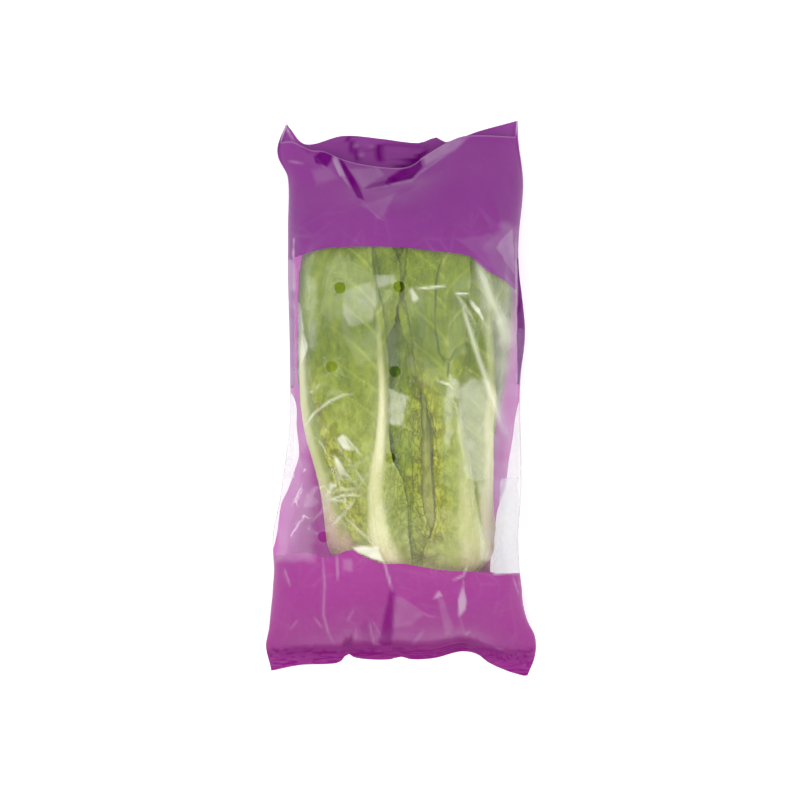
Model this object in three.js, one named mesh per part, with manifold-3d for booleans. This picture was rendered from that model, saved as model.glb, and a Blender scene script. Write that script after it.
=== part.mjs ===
// A head of romaine lettuce lying on its back in its produce sleeve.
//
// Frame, in millimetres: +X to the right, +Y from the cut stem towards the leaf tips, +Z up.
// The origin is on the surface the sleeve lies on, under the middle of the whole object.
//
// The head is described in cross sections square to Y. A point of a section has an angle round
// the head's axis, 0 at the top (+Z) and growing towards +X, and a radius from that axis. The
// leaves are laid on one after another from the heart outwards: each one lies on the field of
// radii that the leaves before it have left, so no leaf can cross another.

import * as THREE from "three";
import { mergeVertices } from "three/addons/utils/BufferGeometryUtils.js";
import Module from "manifold-3d";

// ---------------------------------------------------------------- driving dimensions

const BUTT_Y = -138; // the cut face of the stem
const CLEARANCE = 0.7; // air between one leaf and the next, and between a leaf's root and the stem

// The head's outline: half width, half depth and axis offset along Y.
const HALF_WIDTH = [
  [-138, 46], [-115, 56], [-95, 56.5], [-57, 61.5], [-20, 69.5], [10, 75], [50, 78], [90, 78], [120, 70],
  [150, 45],
];
const HALF_DEPTH = [
  [-138, 25], [-115, 32], [-86, 37], [-57, 41], [0, 44], [50, 45], [90, 43], [120, 36], [150, 21],
];
const AXIS_X = [[-138, 10], [-115, 9.5], [-95, 6.5], [-57, 3.5], [-20, -0.5], [10, 0.5], [60, 3.5], [150, 5]];
const SECTION_POWER = 2.3; // 2 is an ellipse, more is boxier
const BACK_Z = 8.2; // the outline's lowest line over the surface

const STEM_RADIUS = [[-138, 20.5], [-128, 22.5], [-110, 19], [-95, 12], [-85, 8]];

const LEAF_COUNT = 12;
const LEAF_TIP_Y = [118, 132, 124, 128, 140, 136, 146, 138, 148, 144, 136, 130];
const GOLDEN_ANGLE = 137.5; // degrees from one leaf to the next on the stem
const FIRST_LEAF_ANGLE = -15;
const LEVEL_STEP = 0.035; // how much nearer the axis each inner leaf lies, as a share
const ROOT_STEP = 3.2; // how much higher on the stem each inner leaf grows
const BLADE = 0.9; // thickness of a leaf's blade
const RIB_ROOT = 7.5; // thickness added by the midrib at its root
const RIB_TIP = 0.4;
const RIB_HALF_WIDTH = [[0, 16], [0.25, 9], [0.6, 5], [1, 2.5]]; // along the leaf, 0 root to 1 tip
const KEEL = 3; // how far the fold along the midrib stands out
const LEAF_HALF_WIDTH = 62; // along the curved blade, at its widest
const LEAF_OUTLINE = [[0, 0.32], [0.12, 0.38], [0.35, 0.6], [0.6, 0.92], [0.78, 1], [0.92, 0.76], [1, 0.14]];
const WAVE = 2.6; // height of the waves in a leaf's margin
const WAVE_LENGTH = 43;

const HEART_LEVEL = 0.53; // the rolled inner leaves, as a share of the head's section
const HEART_ROOT_Y = -92;
const HEART_TIP_Y = 130;
const HEART_LEAVES = 5; // blades that show as ridges in the rolled heart

const FILM = 0.8;
const SEAL_Y = -188; // the outer edge of the welded end
const SEAL_REACH = 34; // how far up the sleeve the weld's shape carries
const MOUTH_Y = 186;
const LIP_REACH = 62; // how far down the sleeve the lips' shape carries
const VENT_RADIUS = 4;
const VENT_SIDES = 16;
const PUNCH = { from: 22, length: 100 }; // its lower end and length: it reaches only the upper film
const VENTS = [[-43.7, 77.1], [-2.8, 77.7], [-49.5, 22.4], [-5.4, 19], [-9.1, -40.9], [-55.3, -95.9]];

// ---------------------------------------------------------------- curves and fields

// A smooth curve through a few points: cubic Hermite, flat beyond the ends.
function curve(points, x) {
  const last = points.length - 1;
  if (x <= points[0][0]) return points[0][1];
  if (x >= points[last][0]) return points[last][1];
  let k = 0;
  while (x > points[k + 1][0]) k++;
  const slope = (j) => {
    const a = points[Math.max(j - 1, 0)];
    const b = points[Math.min(j + 1, last)];
    return (b[1] - a[1]) / (b[0] - a[0]);
  };
  const [x0, y0] = points[k];
  const [x1, y1] = points[k + 1];
  const h = x1 - x0;
  const t = (x - x0) / h;
  return (
    y0 * (1 + 2 * t) * (1 - t) ** 2 +
    slope(k) * h * t * (1 - t) ** 2 +
    y1 * t * t * (3 - 2 * t) +
    slope(k + 1) * h * t * t * (t - 1)
  );
}

const radians = (degrees) => (degrees * Math.PI) / 180;
const clamp = (x, low, high) => Math.min(high, Math.max(low, x));
const smoothstep = (low, high, x) => {
  const t = clamp((x - low) / (high - low), 0, 1);
  return t * t * (3 - 2 * t);
};

// Distance from the head's axis to its outline at an angle.
function outline(phi, y) {
  const across = Math.abs(Math.sin(phi) / curve(HALF_WIDTH, y)) ** SECTION_POWER;
  const deep = Math.abs(Math.cos(phi) / curve(HALF_DEPTH, y)) ** SECTION_POWER;
  return (across + deep) ** (-1 / SECTION_POWER);
}

const axisZ = (y) => BACK_Z + curve(HALF_DEPTH, y);

// A point of the head from its angle, its place along Y and its distance from the axis.
const headPoint = (phi, y, r) => [curve(AXIS_X, y) + r * Math.sin(phi), y, axisZ(y) + r * Math.cos(phi)];

const FIELD_ANGLES = 120;
const FIELD_STEP = 3.5; // mm along Y
const FIELD_ROWS = Math.round((152 - BUTT_Y) / FIELD_STEP) + 1;

// A field of radii over angle and Y, made from a function of both.
function field(value) {
  const angle = (i) => (2 * Math.PI * i) / FIELD_ANGLES;
  return Array.from({ length: FIELD_ROWS }, (_, j) =>
    Array.from({ length: FIELD_ANGLES }, (_, i) => value(angle(i), BUTT_Y + j * FIELD_STEP, i, j)),
  );
}

// The field's value between its points, and nothing below the cut stem.
function sample(f, phi, y) {
  if (y < BUTT_Y - FIELD_STEP) return 0;
  const u = ((((phi / (2 * Math.PI)) % 1) + 1) % 1) * FIELD_ANGLES;
  const v = clamp((y - BUTT_Y) / FIELD_STEP, 0, FIELD_ROWS - 1.001);
  const i = Math.floor(u);
  const j = Math.floor(v);
  const row = (k) => f[k][i % FIELD_ANGLES] * (i + 1 - u) + f[k][(i + 1) % FIELD_ANGLES] * (u - i);
  return row(j) * (j + 1 - v) + row(j + 1) * (v - j);
}

// The field averaged with its neighbours, again and again.
function blurred(f, times) {
  let from = f;
  for (let n = 0; n < times; n++) {
    const at = (i, j) => from[clamp(j, 0, FIELD_ROWS - 1)][(i + FIELD_ANGLES) % FIELD_ANGLES];
    from = from.map((row, j) =>
      row.map((r, i) => (4 * r + at(i - 1, j) + at(i + 1, j) + at(i, j - 1) + at(i, j + 1)) / 8),
    );
  }
  return from;
}

// ---------------------------------------------------------------- leaves

// Leaf 0 is the outermost. Each next one grows a golden angle round the stem and higher on it.
function leafRule(i) {
  const leaf = {
    name: `leaf_${String(i + 1).padStart(2, "0")}`,
    angle: radians(FIRST_LEAF_ANGLE + i * GOLDEN_ANGLE),
    level: 1 - LEVEL_STEP * i,
    root: BUTT_Y + 5 + ROOT_STEP * i,
    tip: LEAF_TIP_Y[i],
    halfWidth: LEAF_HALF_WIDTH * (1 - 0.022 * i),
    phase: 2.1 * i,
    // share of the half width that each side has, along the leaf
    left: [[0, 1], [1, 1]],
    right: [[0, 1], [1, 1]],
    bend: [[0, 0], [1, 5 * Math.sin(2.4 * i)]], // how far the midrib turns round the head, in degrees
    rows: i < 7 ? 18 : 13,
  };
  return { ...leaf, ...(LEAF_CHANGES[i] ?? {}) };
}

// Packing has turned and folded the leaves that face up: the angle of the midrib, and the sides.
const LEAF_CHANGES = {
  0: {
    left: [[0, 0.65], [0.15, 0.74], [0.3, 0.87], [0.45, 0.88], [0.65, 0.86], [0.8, 0.78], [1, 0.78]],
    right: [
      [0, 0.45], [0.12, 0.62], [0.22, 0.64], [0.3, 0.5], [0.36, 0.22], [0.44, 0.1], [0.6, 0.06], [1, 0.06],
    ],
    bend: [
      [0, -13], [0.12, -14.5], [0.2, -15], [0.3, -12], [0.4, -4.7], [0.47, -1.6], [0.55, -2], [0.67, -5.2],
      [0.78, -9.8], [0.88, -14.5], [1, -22],
    ],
  },
  1: {
    angle: radians(48),
    left: [
      [0, 1.35], [0.09, 1.25], [0.13, 0.95], [0.18, 0.72], [0.28, 0.6], [0.39, 0.44], [0.47, 0.36],
      [0.56, 0.42], [0.65, 0.38], [1, 0.46],
    ],
    right: [
      [0, 0.6], [0.12, 0.42], [0.23, 0.27], [0.33, 0.13], [0.42, 0.07], [0.5, 0.09], [0.6, 0.16],
      [0.72, 0.21], [0.8, 0.27], [1, 0.42],
    ],
    bend: [
      [0, 8.5], [0.07, 7], [0.17, 3], [0.28, 0], [0.4, -1], [0.5, -8], [0.63, -13.5], [0.8, -18], [1, -18],
    ],
  },
  2: {
    angle: radians(-84),
    level: 0.955,
    bend: [[0, 4], [0.1, 5], [0.2, 9], [0.36, 10], [0.5, 9], [0.64, 9], [0.78, 14], [1, 17]],
  },
  3: {
    angle: radians(78),
    bend: [[0, 6], [0.1, -1], [0.3, -4], [0.4, -6], [0.5, -8], [0.57, -11], [0.68, -15], [1, -19]],
  },
  5: {
    right: [
      [0, 2], [0.05, 1.82], [0.1, 1.63], [0.18, 1.49], [0.32, 1.27], [0.46, 1.03], [0.61, 0.8], [0.74, 0.62],
      [1, 0.63],
    ],
  },
  6: { left: [[0, 1], [0.12, 1], [0.4, 0.62], [1, 0.62]] },
  8: {
    angle: radians(20),
    level: 0.8,
    bend: [[0, 2.5], [0.1, 0], [0.2, -1], [0.3, 1], [0.38, 1.5], [0.6, -3], [1, -6]],
  },
};

// Half width of one side of a leaf, side -1 or 1, at a share s of its length.
function sideWidth(leaf, s, side) {
  const share = curve(side < 0 ? leaf.left : leaf.right, s);
  const wave = 1 + 0.04 * Math.sin(9 * s + leaf.phase + side);
  return leaf.halfWidth * curve(LEAF_OUTLINE, s) * share * wave;
}

const midribAngle = (leaf, s) => leaf.angle + radians(curve(leaf.bend, s));

// The angle reached from the midrib after a length along the blade.
function angleAt(leaf, s, y, arc) {
  const steps = 16;
  let phi = midribAngle(leaf, s);
  for (let n = 0; n < steps; n++) phi += arc / steps / (leaf.level * outline(phi, y));
  return phi;
}

// Thickness of a leaf at a distance along the blade from its midrib.
function leafThickness(s, arc) {
  const rib = RIB_ROOT * (1 - s) ** 1.6 + RIB_TIP;
  return BLADE + rib * Math.exp(-((arc / curve(RIB_HALF_WIDTH, s)) ** 2));
}

// How far a leaf's inner face stands off the field it lies on: its keel and its waved margin.
function standOff(leaf, s, t, arc) {
  const keel = KEEL * Math.exp(-Math.abs(arc) / 9) * smoothstep(0.1, 0.4, s) * (1 - 0.6 * s);
  const wave = Math.sin((2 * Math.PI * s * (leaf.tip - leaf.root)) / WAVE_LENGTH + leaf.phase);
  return keel + WAVE * 0.5 * (1 + wave) * Math.abs(t) ** 3 * smoothstep(0.2, 0.5, s);
}

// Places across a leaf: its margins, blade, both sides of the rib and the rib's ridge.
const PLACES = [-1, -0.66, -0.34, "left", 0, "right", 0.34, 0.66, 1];
function placesAcross(leaf, s) {
  const rib = curve(RIB_HALF_WIDTH, s);
  return PLACES.map((place, k) => {
    const side = k < 4 ? -1 : 1;
    const width = sideWidth(leaf, s, side);
    const arc = typeof place === "string" ? side * Math.min(rib, 0.22 * width) : place * width;
    return { t: arc / width, arc };
  });
}

// A leaf leaves the stem steeply, then follows the head's outline.
const rootFlare = (leaf, y) => smoothstep(-40, 26, y - leaf.root);

// The field that a leaf's inner face follows: its own level, or the leaves under it.
function bedOf(leaf, under) {
  const floor = field((phi, y, i, j) => under[j][i] + CLEARANCE);
  const ownLevel = (phi, y) => leaf.level * outline(phi, y) * rootFlare(leaf, y);
  const wanted = field((phi, y, i, j) => Math.max(floor[j][i], ownLevel(phi, y)));
  const smooth = blurred(wanted, 6);
  return field((phi, y, i, j) => Math.max(smooth[j][i], floor[j][i]));
}

// Points spread over a triangle, as shares of its three corners.
function spread(parts) {
  const shares = [];
  for (let a = 0; a <= parts; a++) {
    for (let b = 0; a + b <= parts; b++) shares.push([a / parts, b / parts, (parts - a - b) / parts]);
  }
  return shares;
}

const blend = (corners, share) =>
  [0, 1, 2].map((k) => share.reduce((sum, part, n) => sum + part * corners[n][k], 0));

// The angle and the distance of a point from the head's axis.
function polar([x, y, z]) {
  const across = x - curve(AXIS_X, y);
  const up = z - axisZ(y);
  return { phi: Math.atan2(across, up), r: Math.hypot(across, up) };
}

// Moves points out from the axis until none of their triangles dips under the field.
function liftOff(points, faces, under, clearance) {
  const shares = spread(4);
  for (let pass = 0; pass < 14; pass++) {
    const lift = points.map(() => 0);
    for (const face of faces) {
      const corners = face.map((k) => points[k]);
      for (const share of shares) {
        const at = blend(corners, share);
        const { phi, r } = polar(at);
        const short = sample(under, phi, at[1]) + clearance - r;
        if (short <= 0) continue;
        const weight = short / (share[0] ** 2 + share[1] ** 2 + share[2] ** 2);
        face.forEach((k, n) => (lift[k] = Math.max(lift[k], weight * share[n])));
      }
    }
    if (Math.max(...lift) < 0.02) break;
    lift.forEach((rise, k) => {
      const { phi, r } = polar(points[k]);
      if (rise > 0) points[k] = headPoint(phi, points[k][1], r + rise);
    });
  }
}

// The field after a solid is laid: raised to its outermost points wherever it covers.
function covered(under, points, faces) {
  const after = under.map((row) => [...row]);
  const shares = spread(8);
  for (const face of faces) {
    const corners = face.map((k) => points[k]);
    for (const share of shares) {
      const at = blend(corners, share);
      const { phi, r } = polar(at);
      const u = ((phi / (2 * Math.PI) + 1) % 1) * FIELD_ANGLES;
      const v = (at[1] - BUTT_Y) / FIELD_STEP;
      for (const j of [Math.floor(v), Math.floor(v) + 1]) {
        for (const i of [Math.floor(u), Math.floor(u) + 1]) {
          const row = after[clamp(j, 0, FIELD_ROWS - 1)];
          row[i % FIELD_ANGLES] = Math.max(row[i % FIELD_ANGLES], r);
        }
      }
    }
  }
  return after;
}

// Both triangles of each cell of a grid of points.
function gridFaces(rows, columns) {
  const faces = [];
  for (let j = 0; j + 1 < rows; j++) {
    for (let i = 0; i + 1 < columns; i++) {
      const a = j * columns + i;
      faces.push([a, a + 1, a + columns + 1], [a, a + columns + 1, a + columns]);
    }
  }
  return faces;
}

// Lays one leaf: two faces on the same grid of points, the inner one clear of the field.
function layLeaf(leaf, under) {
  const bed = bedOf(leaf, under);
  const inner = [];
  const thickness = [];
  for (let j = 0; j <= leaf.rows; j++) {
    const s = j / leaf.rows;
    const y = leaf.root + s * (leaf.tip - leaf.root);
    for (const { t, arc } of placesAcross(leaf, s)) {
      const phi = angleAt(leaf, s, y, arc);
      inner.push(headPoint(phi, y, sample(bed, phi, y) + standOff(leaf, s, t, arc)));
      thickness.push(leafThickness(s, arc));
    }
  }
  const faces = gridFaces(leaf.rows + 1, PLACES.length);
  liftOff(inner, faces, under, CLEARANCE);
  const outer = inner.map((point, k) => {
    const { phi, r } = polar(point);
    return headPoint(phi, point[1], r + thickness[k]);
  });
  const geometry = sheetSolid(inner, outer, leaf.rows + 1, PLACES.length);
  return { geometry, after: covered(under, outer, faces) };
}

// A closed solid from two grids of points, rows by columns, split into triangles alike.
function sheetSolid(inner, outer, rows, columns) {
  const count = rows * columns;
  const sheet = gridFaces(rows, columns);
  const faces = [...sheet, ...sheet.map(([a, b, c]) => [a + count, c + count, b + count])];
  const rim = [];
  for (let i = 0; i < columns; i++) rim.push(i);
  for (let j = 1; j < rows; j++) rim.push(j * columns + columns - 1);
  for (let i = columns - 2; i >= 0; i--) rim.push((rows - 1) * columns + i);
  for (let j = rows - 2; j > 0; j--) rim.push(j * columns);
  rim.forEach((a, k) => {
    const b = rim[(k + 1) % rim.length];
    faces.push([a, a + count, b + count], [a, b + count, b]);
  });
  return closedGeometry([...inner, ...outer], faces);
}

// An indexed geometry with its faces pointing out.
function closedGeometry(points, faces) {
  const corner = (k) => new THREE.Vector3(...points[k]);
  const volume = faces.reduce((sum, [a, b, c]) => sum + corner(a).dot(corner(b).cross(corner(c))), 0);
  const turned = volume < 0 ? faces.map(([a, b, c]) => [a, c, b]) : faces;
  const geometry = new THREE.BufferGeometry();
  geometry.setAttribute("position", new THREE.Float32BufferAttribute(points.flat(), 3));
  geometry.setIndex(turned.flat());
  geometry.computeVertexNormals();
  return geometry;
}

// ---------------------------------------------------------------- stem and heart

// The stem carries the heart, which is the rolled inner leaves: a bud whose surface steps where
// each blade's margin lies over the next, winding a little as it rises.
function heartRadius(phi, y) {
  const s = clamp((y - HEART_ROOT_Y) / (HEART_TIP_Y - HEART_ROOT_Y), 0, 1);
  const turn = ((((phi / (2 * Math.PI)) * HEART_LEAVES + 1.4 * s) % 1) + 1) % 1;
  const step = 0.12 * (turn - 0.5);
  const ends = Math.sqrt(1 - (s < 0.5 ? (2 * s - 1) ** 2 : 0.96 * (2 * s - 1) ** 4));
  return HEART_LEVEL * outline(phi, y) * ends * (0.94 + step);
}

function coreRadius(phi, y) {
  if (y > HEART_TIP_Y) return 0;
  const stem = y < STEM_RADIUS[STEM_RADIUS.length - 1][0] ? curve(STEM_RADIUS, y) : 0;
  return Math.max(stem, y > HEART_ROOT_Y ? heartRadius(phi, y) : 0, 5);
}

// A closed solid of rings square to Y, with a point on the axis at each end.
function ringSolid(ys, sides, radiusAt) {
  const points = [];
  const faces = [];
  ys.forEach((y) => {
    for (let i = 0; i < sides; i++) {
      const phi = (2 * Math.PI * i) / sides;
      points.push(headPoint(phi, y, radiusAt(phi, y)));
    }
  });
  faces.push(...tubeFaces(ys.length, sides));
  const [first, last] = [points.length, points.length + 1];
  points.push(headPoint(0, ys[0], 0), headPoint(0, ys[ys.length - 1], 0));
  const top = (ys.length - 1) * sides;
  for (let i = 0; i < sides; i++) {
    const next = (i + 1) % sides;
    faces.push([first, next, i], [last, top + i, top + next]);
  }
  return { points, faces, geometry: closedGeometry(points, faces) };
}

// ---------------------------------------------------------------- sleeve

// The sleeve's two side edges seen from above, and the heights of its middle line, along Y.
const SLEEVE_LEFT = [
  [-190, -92], [-174, -95], [-160, -93], [-125, -90], [-97, -91], [-70, -86], [-42, -82], [-15, -79],
  [34, -79], [73, -80], [120, -80.5], [155, -80.5], [169, -87], [178, -87.5], [193, -82],
];
const SLEEVE_RIGHT = [
  [-195, 87], [-181, 92], [-167, 91.5], [-153, 86], [-139, 83], [-97, 80.5], [-66, 82.5], [-42, 82.5],
  [8, 81.5], [48, 85], [99, 80], [118, 81], [152, 84], [183, 80.5], [195, 80.5],
];
const SLEEVE_TOP = [
  [-190, 2.4], [-180, 5], [-165, 33], [-150, 53], [-138, 65], [-115, 77], [-60, 92], [0, 98.5],
  [50, 100.5], [90, 97.5], [120, 85], [150, 62], [170, 42], [183, 28], [195, 20],
];
const SLEEVE_EDGE = [
  [-190, 1.4], [-178, 3], [-150, 18], [-115, 32], [-60, 40], [50, 44], [110, 38], [150, 20], [183, 7],
  [195, 5],
];
const SLEEVE_UNDER = [
  [-190, 0.4], [-181, 0.2], [-165, -1.5], [-130, -5], [110, -5], [150, -3], [178, 0.3], [195, 0.8],
];

// How far the welded edge and the two lips of the mouth run off square, over the width.
const SEAL_SHIFT = [
  [-93, -3], [-72, 1], [-49, 2], [-38.5, 8.5], [-24, 5], [-9, 5], [-3, 7], [6, 5], [22, 6], [39, 10.5], [50, 9],
  [59, 3], [74, -3], [87, -6.5],
];
const LOWER_LIP = [
  [-86, 8], [-82, 4.5], [-66, -7], [-42, -1], [-15, -3], [12, -6], [24, -2], [30, -5.5], [54, 2.5], [80, 9.5],
];
const UPPER_LIP = [
  [-86, -6.5], [-76, -5.5], [-62, -11.5], [-53, -12.5], [-44, -17], [-32, -21], [-10, -24], [2, -23],
  [13, -17], [33, -5.5], [45, -1.5], [80, -2],
];

const SLEEVE_SIDES = 36;
const SLEEVE_YS = [
  -181, -172, -162, -150, -136, -120, -102, -84, -64, -44, -22, 0, 22, 44, 64, 84, 102, 118, 131, 142, 152,
  161, 170, 178, 186,
];

// The fold that the slack upper film makes behind its lip: three flat walls meeting in creases.
// Each wall starts at a point, falls off towards a direction and has a slope.
const HOLLOW_WALLS = [
  { from: [-28, 139], towards: [0.85, 0.53], slope: 0.45 },
  { from: [6, 153], towards: [-0.67, 0.74], slope: 1.1 },
  { from: [-28, 145], towards: [-0.23, 0.97], slope: 0.6 },
];
const HOLLOW_DEPTH = 13;

function hollowDepth(x, y) {
  const depths = HOLLOW_WALLS.map(
    ({ from, towards, slope }) => slope * (towards[0] * (x - from[0]) + towards[1] * (y - from[1])),
  );
  return clamp(Math.min(...depths), 0, HOLLOW_DEPTH);
}

// A point of the sleeve, moved inwards by an inset. psi is 0 at the top and grows towards +X.
function sleevePoint(psi, y, inset) {
  const upper = Math.cos(psi) >= 0;
  const power = upper ? 2 / 2.25 : 2 / 2.9;
  const lift = Math.abs(Math.cos(psi)) ** power;
  const across = Math.sign(Math.sin(psi)) * Math.abs(Math.sin(psi)) ** power;
  const acrossAt = (alongY) => {
    const left = curve(SLEEVE_LEFT, alongY) + inset;
    const right = curve(SLEEVE_RIGHT, alongY) - inset;
    return (left + right) / 2 + ((right - left) / 2) * across;
  };
  const near = acrossAt(y);
  const lip = curve(LOWER_LIP, near);
  const shift = upper ? lip + (curve(UPPER_LIP, near) - lip) * smoothstep(0, 0.3, lift) : lip;
  const atSeal = 1 - smoothstep(SEAL_Y, SEAL_Y + SEAL_REACH, y);
  const alongY = y + curve(SEAL_SHIFT, near) * atSeal + shift * smoothstep(MOUTH_Y - LIP_REACH, MOUTH_Y, y);
  const x = acrossAt(alongY);
  const edge = curve(SLEEVE_EDGE, y);
  const top = curve(SLEEVE_TOP, y) - inset;
  const under = curve(SLEEVE_UNDER, y) + inset;
  const z = upper
    ? edge + (top - edge) * lift - hollowDepth(x, alongY) * smoothstep(0, 0.3, lift)
    : Math.max(edge + (under - edge) * lift, inset);
  return [x, alongY, z];
}

// One ring of the sleeve, counterclockwise seen from the welded end.
const sleeveAngle = (i) => (2 * Math.PI * (i + 0.5)) / SLEEVE_SIDES;
const sleeveRing = (y, inset) =>
  Array.from({ length: SLEEVE_SIDES }, (_, i) => sleevePoint(sleeveAngle(i), y, inset));

// Both triangles of each cell of a tube of rings.
function tubeFaces(rings, sides) {
  const faces = [];
  for (let j = 0; j + 1 < rings; j++) {
    for (let i = 0; i < sides; i++) {
      const [a, b] = [j * sides + i, j * sides + ((i + 1) % sides)];
      faces.push([a, b, b + sides], [a, b + sides, a + sides]);
    }
  }
  return faces;
}

// The sleeve: an inner face from past the weld to the mouth, clear of the head, an outer face
// that goes on over the weld, a lip between them and the two ends of the pocket closed across.
function sleeveGeometry(under) {
  const flatInner = SLEEVE_YS.flatMap((y, j) => sleeveRing(j === 0 ? y + 3 : y, FILM));
  const inner = flatInner.map((point) => [...point]);
  const innerFaces = tubeFaces(SLEEVE_YS.length, SLEEVE_SIDES);
  liftOff(inner, innerFaces, under, CLEARANCE);
  const lifted = SLEEVE_YS.flatMap((y) => sleeveRing(y, 0)).map((point, k) =>
    point.map((value, n) => value + inner[k][n] - flatInner[k][n]),
  );
  const outer = [...sleeveRing(SEAL_Y, 0), ...lifted];
  const points = [...outer, ...inner];
  const start = outer.length;
  const faces = tubeFaces(SLEEVE_YS.length + 1, SLEEVE_SIDES);
  faces.push(...innerFaces.map(([a, b, c]) => [a + start, c + start, b + start]));
  for (let i = 0; i < SLEEVE_SIDES; i++) {
    const [a, b] = [i, (i + 1) % SLEEVE_SIDES].map((k) => start - SLEEVE_SIDES + k);
    const [c, d] = [b, a].map((k) => k + inner.length);
    faces.push([a, b, c], [a, c, d]);
  }
  faces.push(...acrossFaces(points, 0, true), ...acrossFaces(points, start, false));
  return closedGeometry(points, faces);
}

// Closes a ring across by joining each point of its upper half to the one below it.
function acrossFaces(points, start, turned) {
  const lift = (i) => Math.cos(sleeveAngle(i));
  const order = [...Array(SLEEVE_SIDES).keys()].sort((a, b) => points[start + a][0] - points[start + b][0]);
  const above = order.filter((i) => lift(i) > 0).map((i) => start + i);
  const below = order.filter((i) => lift(i) < 0).map((i) => start + i);
  return above.slice(1).flatMap((b, k) => {
    const [a, c, d] = [above[k], below[k + 1], below[k]];
    return turned ? [[a, c, b], [a, d, c]] : [[a, b, c], [a, c, d]];
  });
}

// ---------------------------------------------------------------- cutting the vents

const wasm = await Module();
wasm.setup();

function toSolid(geometry) {
  const bare = geometry.clone();
  bare.deleteAttribute("normal");
  bare.deleteAttribute("uv");
  const merged = mergeVertices(bare, 1e-4);
  return new wasm.Manifold(
    new wasm.Mesh({
      numProp: 3,
      vertProperties: merged.attributes.position.array,
      triVerts: new Uint32Array(merged.index.array),
    }),
  );
}

function toGeometry(solid) {
  const mesh = solid.getMesh();
  const geometry = new THREE.BufferGeometry();
  geometry.setAttribute("position", new THREE.BufferAttribute(Float32Array.from(mesh.vertProperties), 3));
  geometry.setIndex(new THREE.BufferAttribute(Uint32Array.from(mesh.triVerts), 1));
  geometry.computeVertexNormals();
  return geometry;
}

// The vents are punched straight through the upper film.
function punched(geometry) {
  let solid = toSolid(geometry);
  for (const [x, y] of VENTS) {
    const punch = new THREE.CylinderGeometry(VENT_RADIUS, VENT_RADIUS, PUNCH.length, VENT_SIDES);
    punch.rotateX(Math.PI / 2).translate(x, y, PUNCH.from + PUNCH.length / 2);
    solid = solid.subtract(toSolid(punch));
  }
  return toGeometry(solid);
}

// ---------------------------------------------------------------- assembly

const MATERIALS = {
  leaf: new THREE.MeshStandardMaterial({ color: 0x8ea45c, roughness: 0.55, metalness: 0 }),
  heart: new THREE.MeshStandardMaterial({ color: 0xc9cf86, roughness: 0.55, metalness: 0 }),
  film: new THREE.MeshStandardMaterial({ color: 0x8e4491, roughness: 0.25, metalness: 0 }),
};

const lettuce = new THREE.Group();

function add(name, geometry, material) {
  const mesh = new THREE.Mesh(geometry, material);
  mesh.name = name;
  lettuce.add(mesh);
}

const CORE_YS = [
  BUTT_Y, -129, -118, -107, -98, -90, -82, -72, -58, -40, -20, 0, 20, 40, 60, 80, 98, 113, 123, HEART_TIP_Y,
];
const CORE_SIDES = 25;
const core = ringSolid(CORE_YS, CORE_SIDES, coreRadius);
add("stem_and_heart", core.geometry, MATERIALS.heart);

let radii = covered(field(() => 4), core.points, core.faces);
for (let i = LEAF_COUNT - 1; i >= 0; i--) {
  const leaf = leafRule(i);
  const { geometry, after } = layLeaf(leaf, radii);
  add(leaf.name, geometry, MATERIALS.leaf);
  radii = after;
}

add("sleeve", punched(sleeveGeometry(radii)), MATERIALS.film);

// The origin goes under the middle of the whole object, on the surface it lies on.
const box = new THREE.Box3().setFromObject(lettuce);
lettuce.position.set(-(box.min.x + box.max.x) / 2, -(box.min.y + box.max.y) / 2, -box.min.z);

export default lettuce;
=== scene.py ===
"""A head of romaine lettuce lying in its printed produce sleeve.

The head and the sleeve are worked out in millimetres in the head's own frame: +X right, +Y from
the cut stem to the leaf tips, +Z up. A point of a section square to Y has an angle round the
head's axis, 0 at the top and growing towards +X, and a radius.
"""

import math
from types import SimpleNamespace

import bpy
import numpy as np
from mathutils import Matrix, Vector
from mathutils.geometry import delaunay_2d_cdt


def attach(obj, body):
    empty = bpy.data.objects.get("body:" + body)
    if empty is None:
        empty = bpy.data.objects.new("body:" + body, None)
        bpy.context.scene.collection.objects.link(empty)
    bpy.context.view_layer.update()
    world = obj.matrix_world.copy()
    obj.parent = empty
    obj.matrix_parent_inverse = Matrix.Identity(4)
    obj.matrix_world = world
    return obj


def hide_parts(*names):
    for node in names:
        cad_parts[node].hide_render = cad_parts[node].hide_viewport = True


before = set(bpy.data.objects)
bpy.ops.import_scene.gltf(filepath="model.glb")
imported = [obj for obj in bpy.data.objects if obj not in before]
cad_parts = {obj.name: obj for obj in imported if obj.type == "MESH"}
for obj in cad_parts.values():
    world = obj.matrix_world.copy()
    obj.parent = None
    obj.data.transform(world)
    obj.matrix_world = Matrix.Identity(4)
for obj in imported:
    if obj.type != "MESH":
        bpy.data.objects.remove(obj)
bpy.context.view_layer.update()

MM = 0.001
SHIFT = np.array([1.2862, -0.5, 0.0])  # from the head's own frame to the row's, in mm
TURN = 2 * math.pi

# ---- dimensions, as in the solids

BUTT_Y = -138
CLEARANCE = 0.55
HALF_WIDTH = [
    (-138, 46), (-115, 56), (-95, 56.5), (-57, 61.5), (-20, 69.5), (10, 75), (50, 78), (90, 78),
    (120, 70), (150, 45),
]
HALF_DEPTH = [
    (-138, 25), (-115, 32), (-86, 37), (-57, 41), (0, 44), (50, 45), (90, 43), (120, 36), (150, 21),
]
AXIS_X = [(-138, 10), (-115, 9.5), (-95, 6.5), (-57, 3.5), (-20, -0.5), (10, 0.5), (60, 3.5), (150, 5)]
SECTION_POWER = 2.3
BACK_Z = 8.2

STEM_RADIUS = [(-138, 20.5), (-128, 22.5), (-110, 19), (-95, 12), (-85, 8)]
HEART_LEVEL = 0.53
HEART_ROOT_Y = -92
HEART_TIP_Y = 130
HEART_LEAVES = 5

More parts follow.
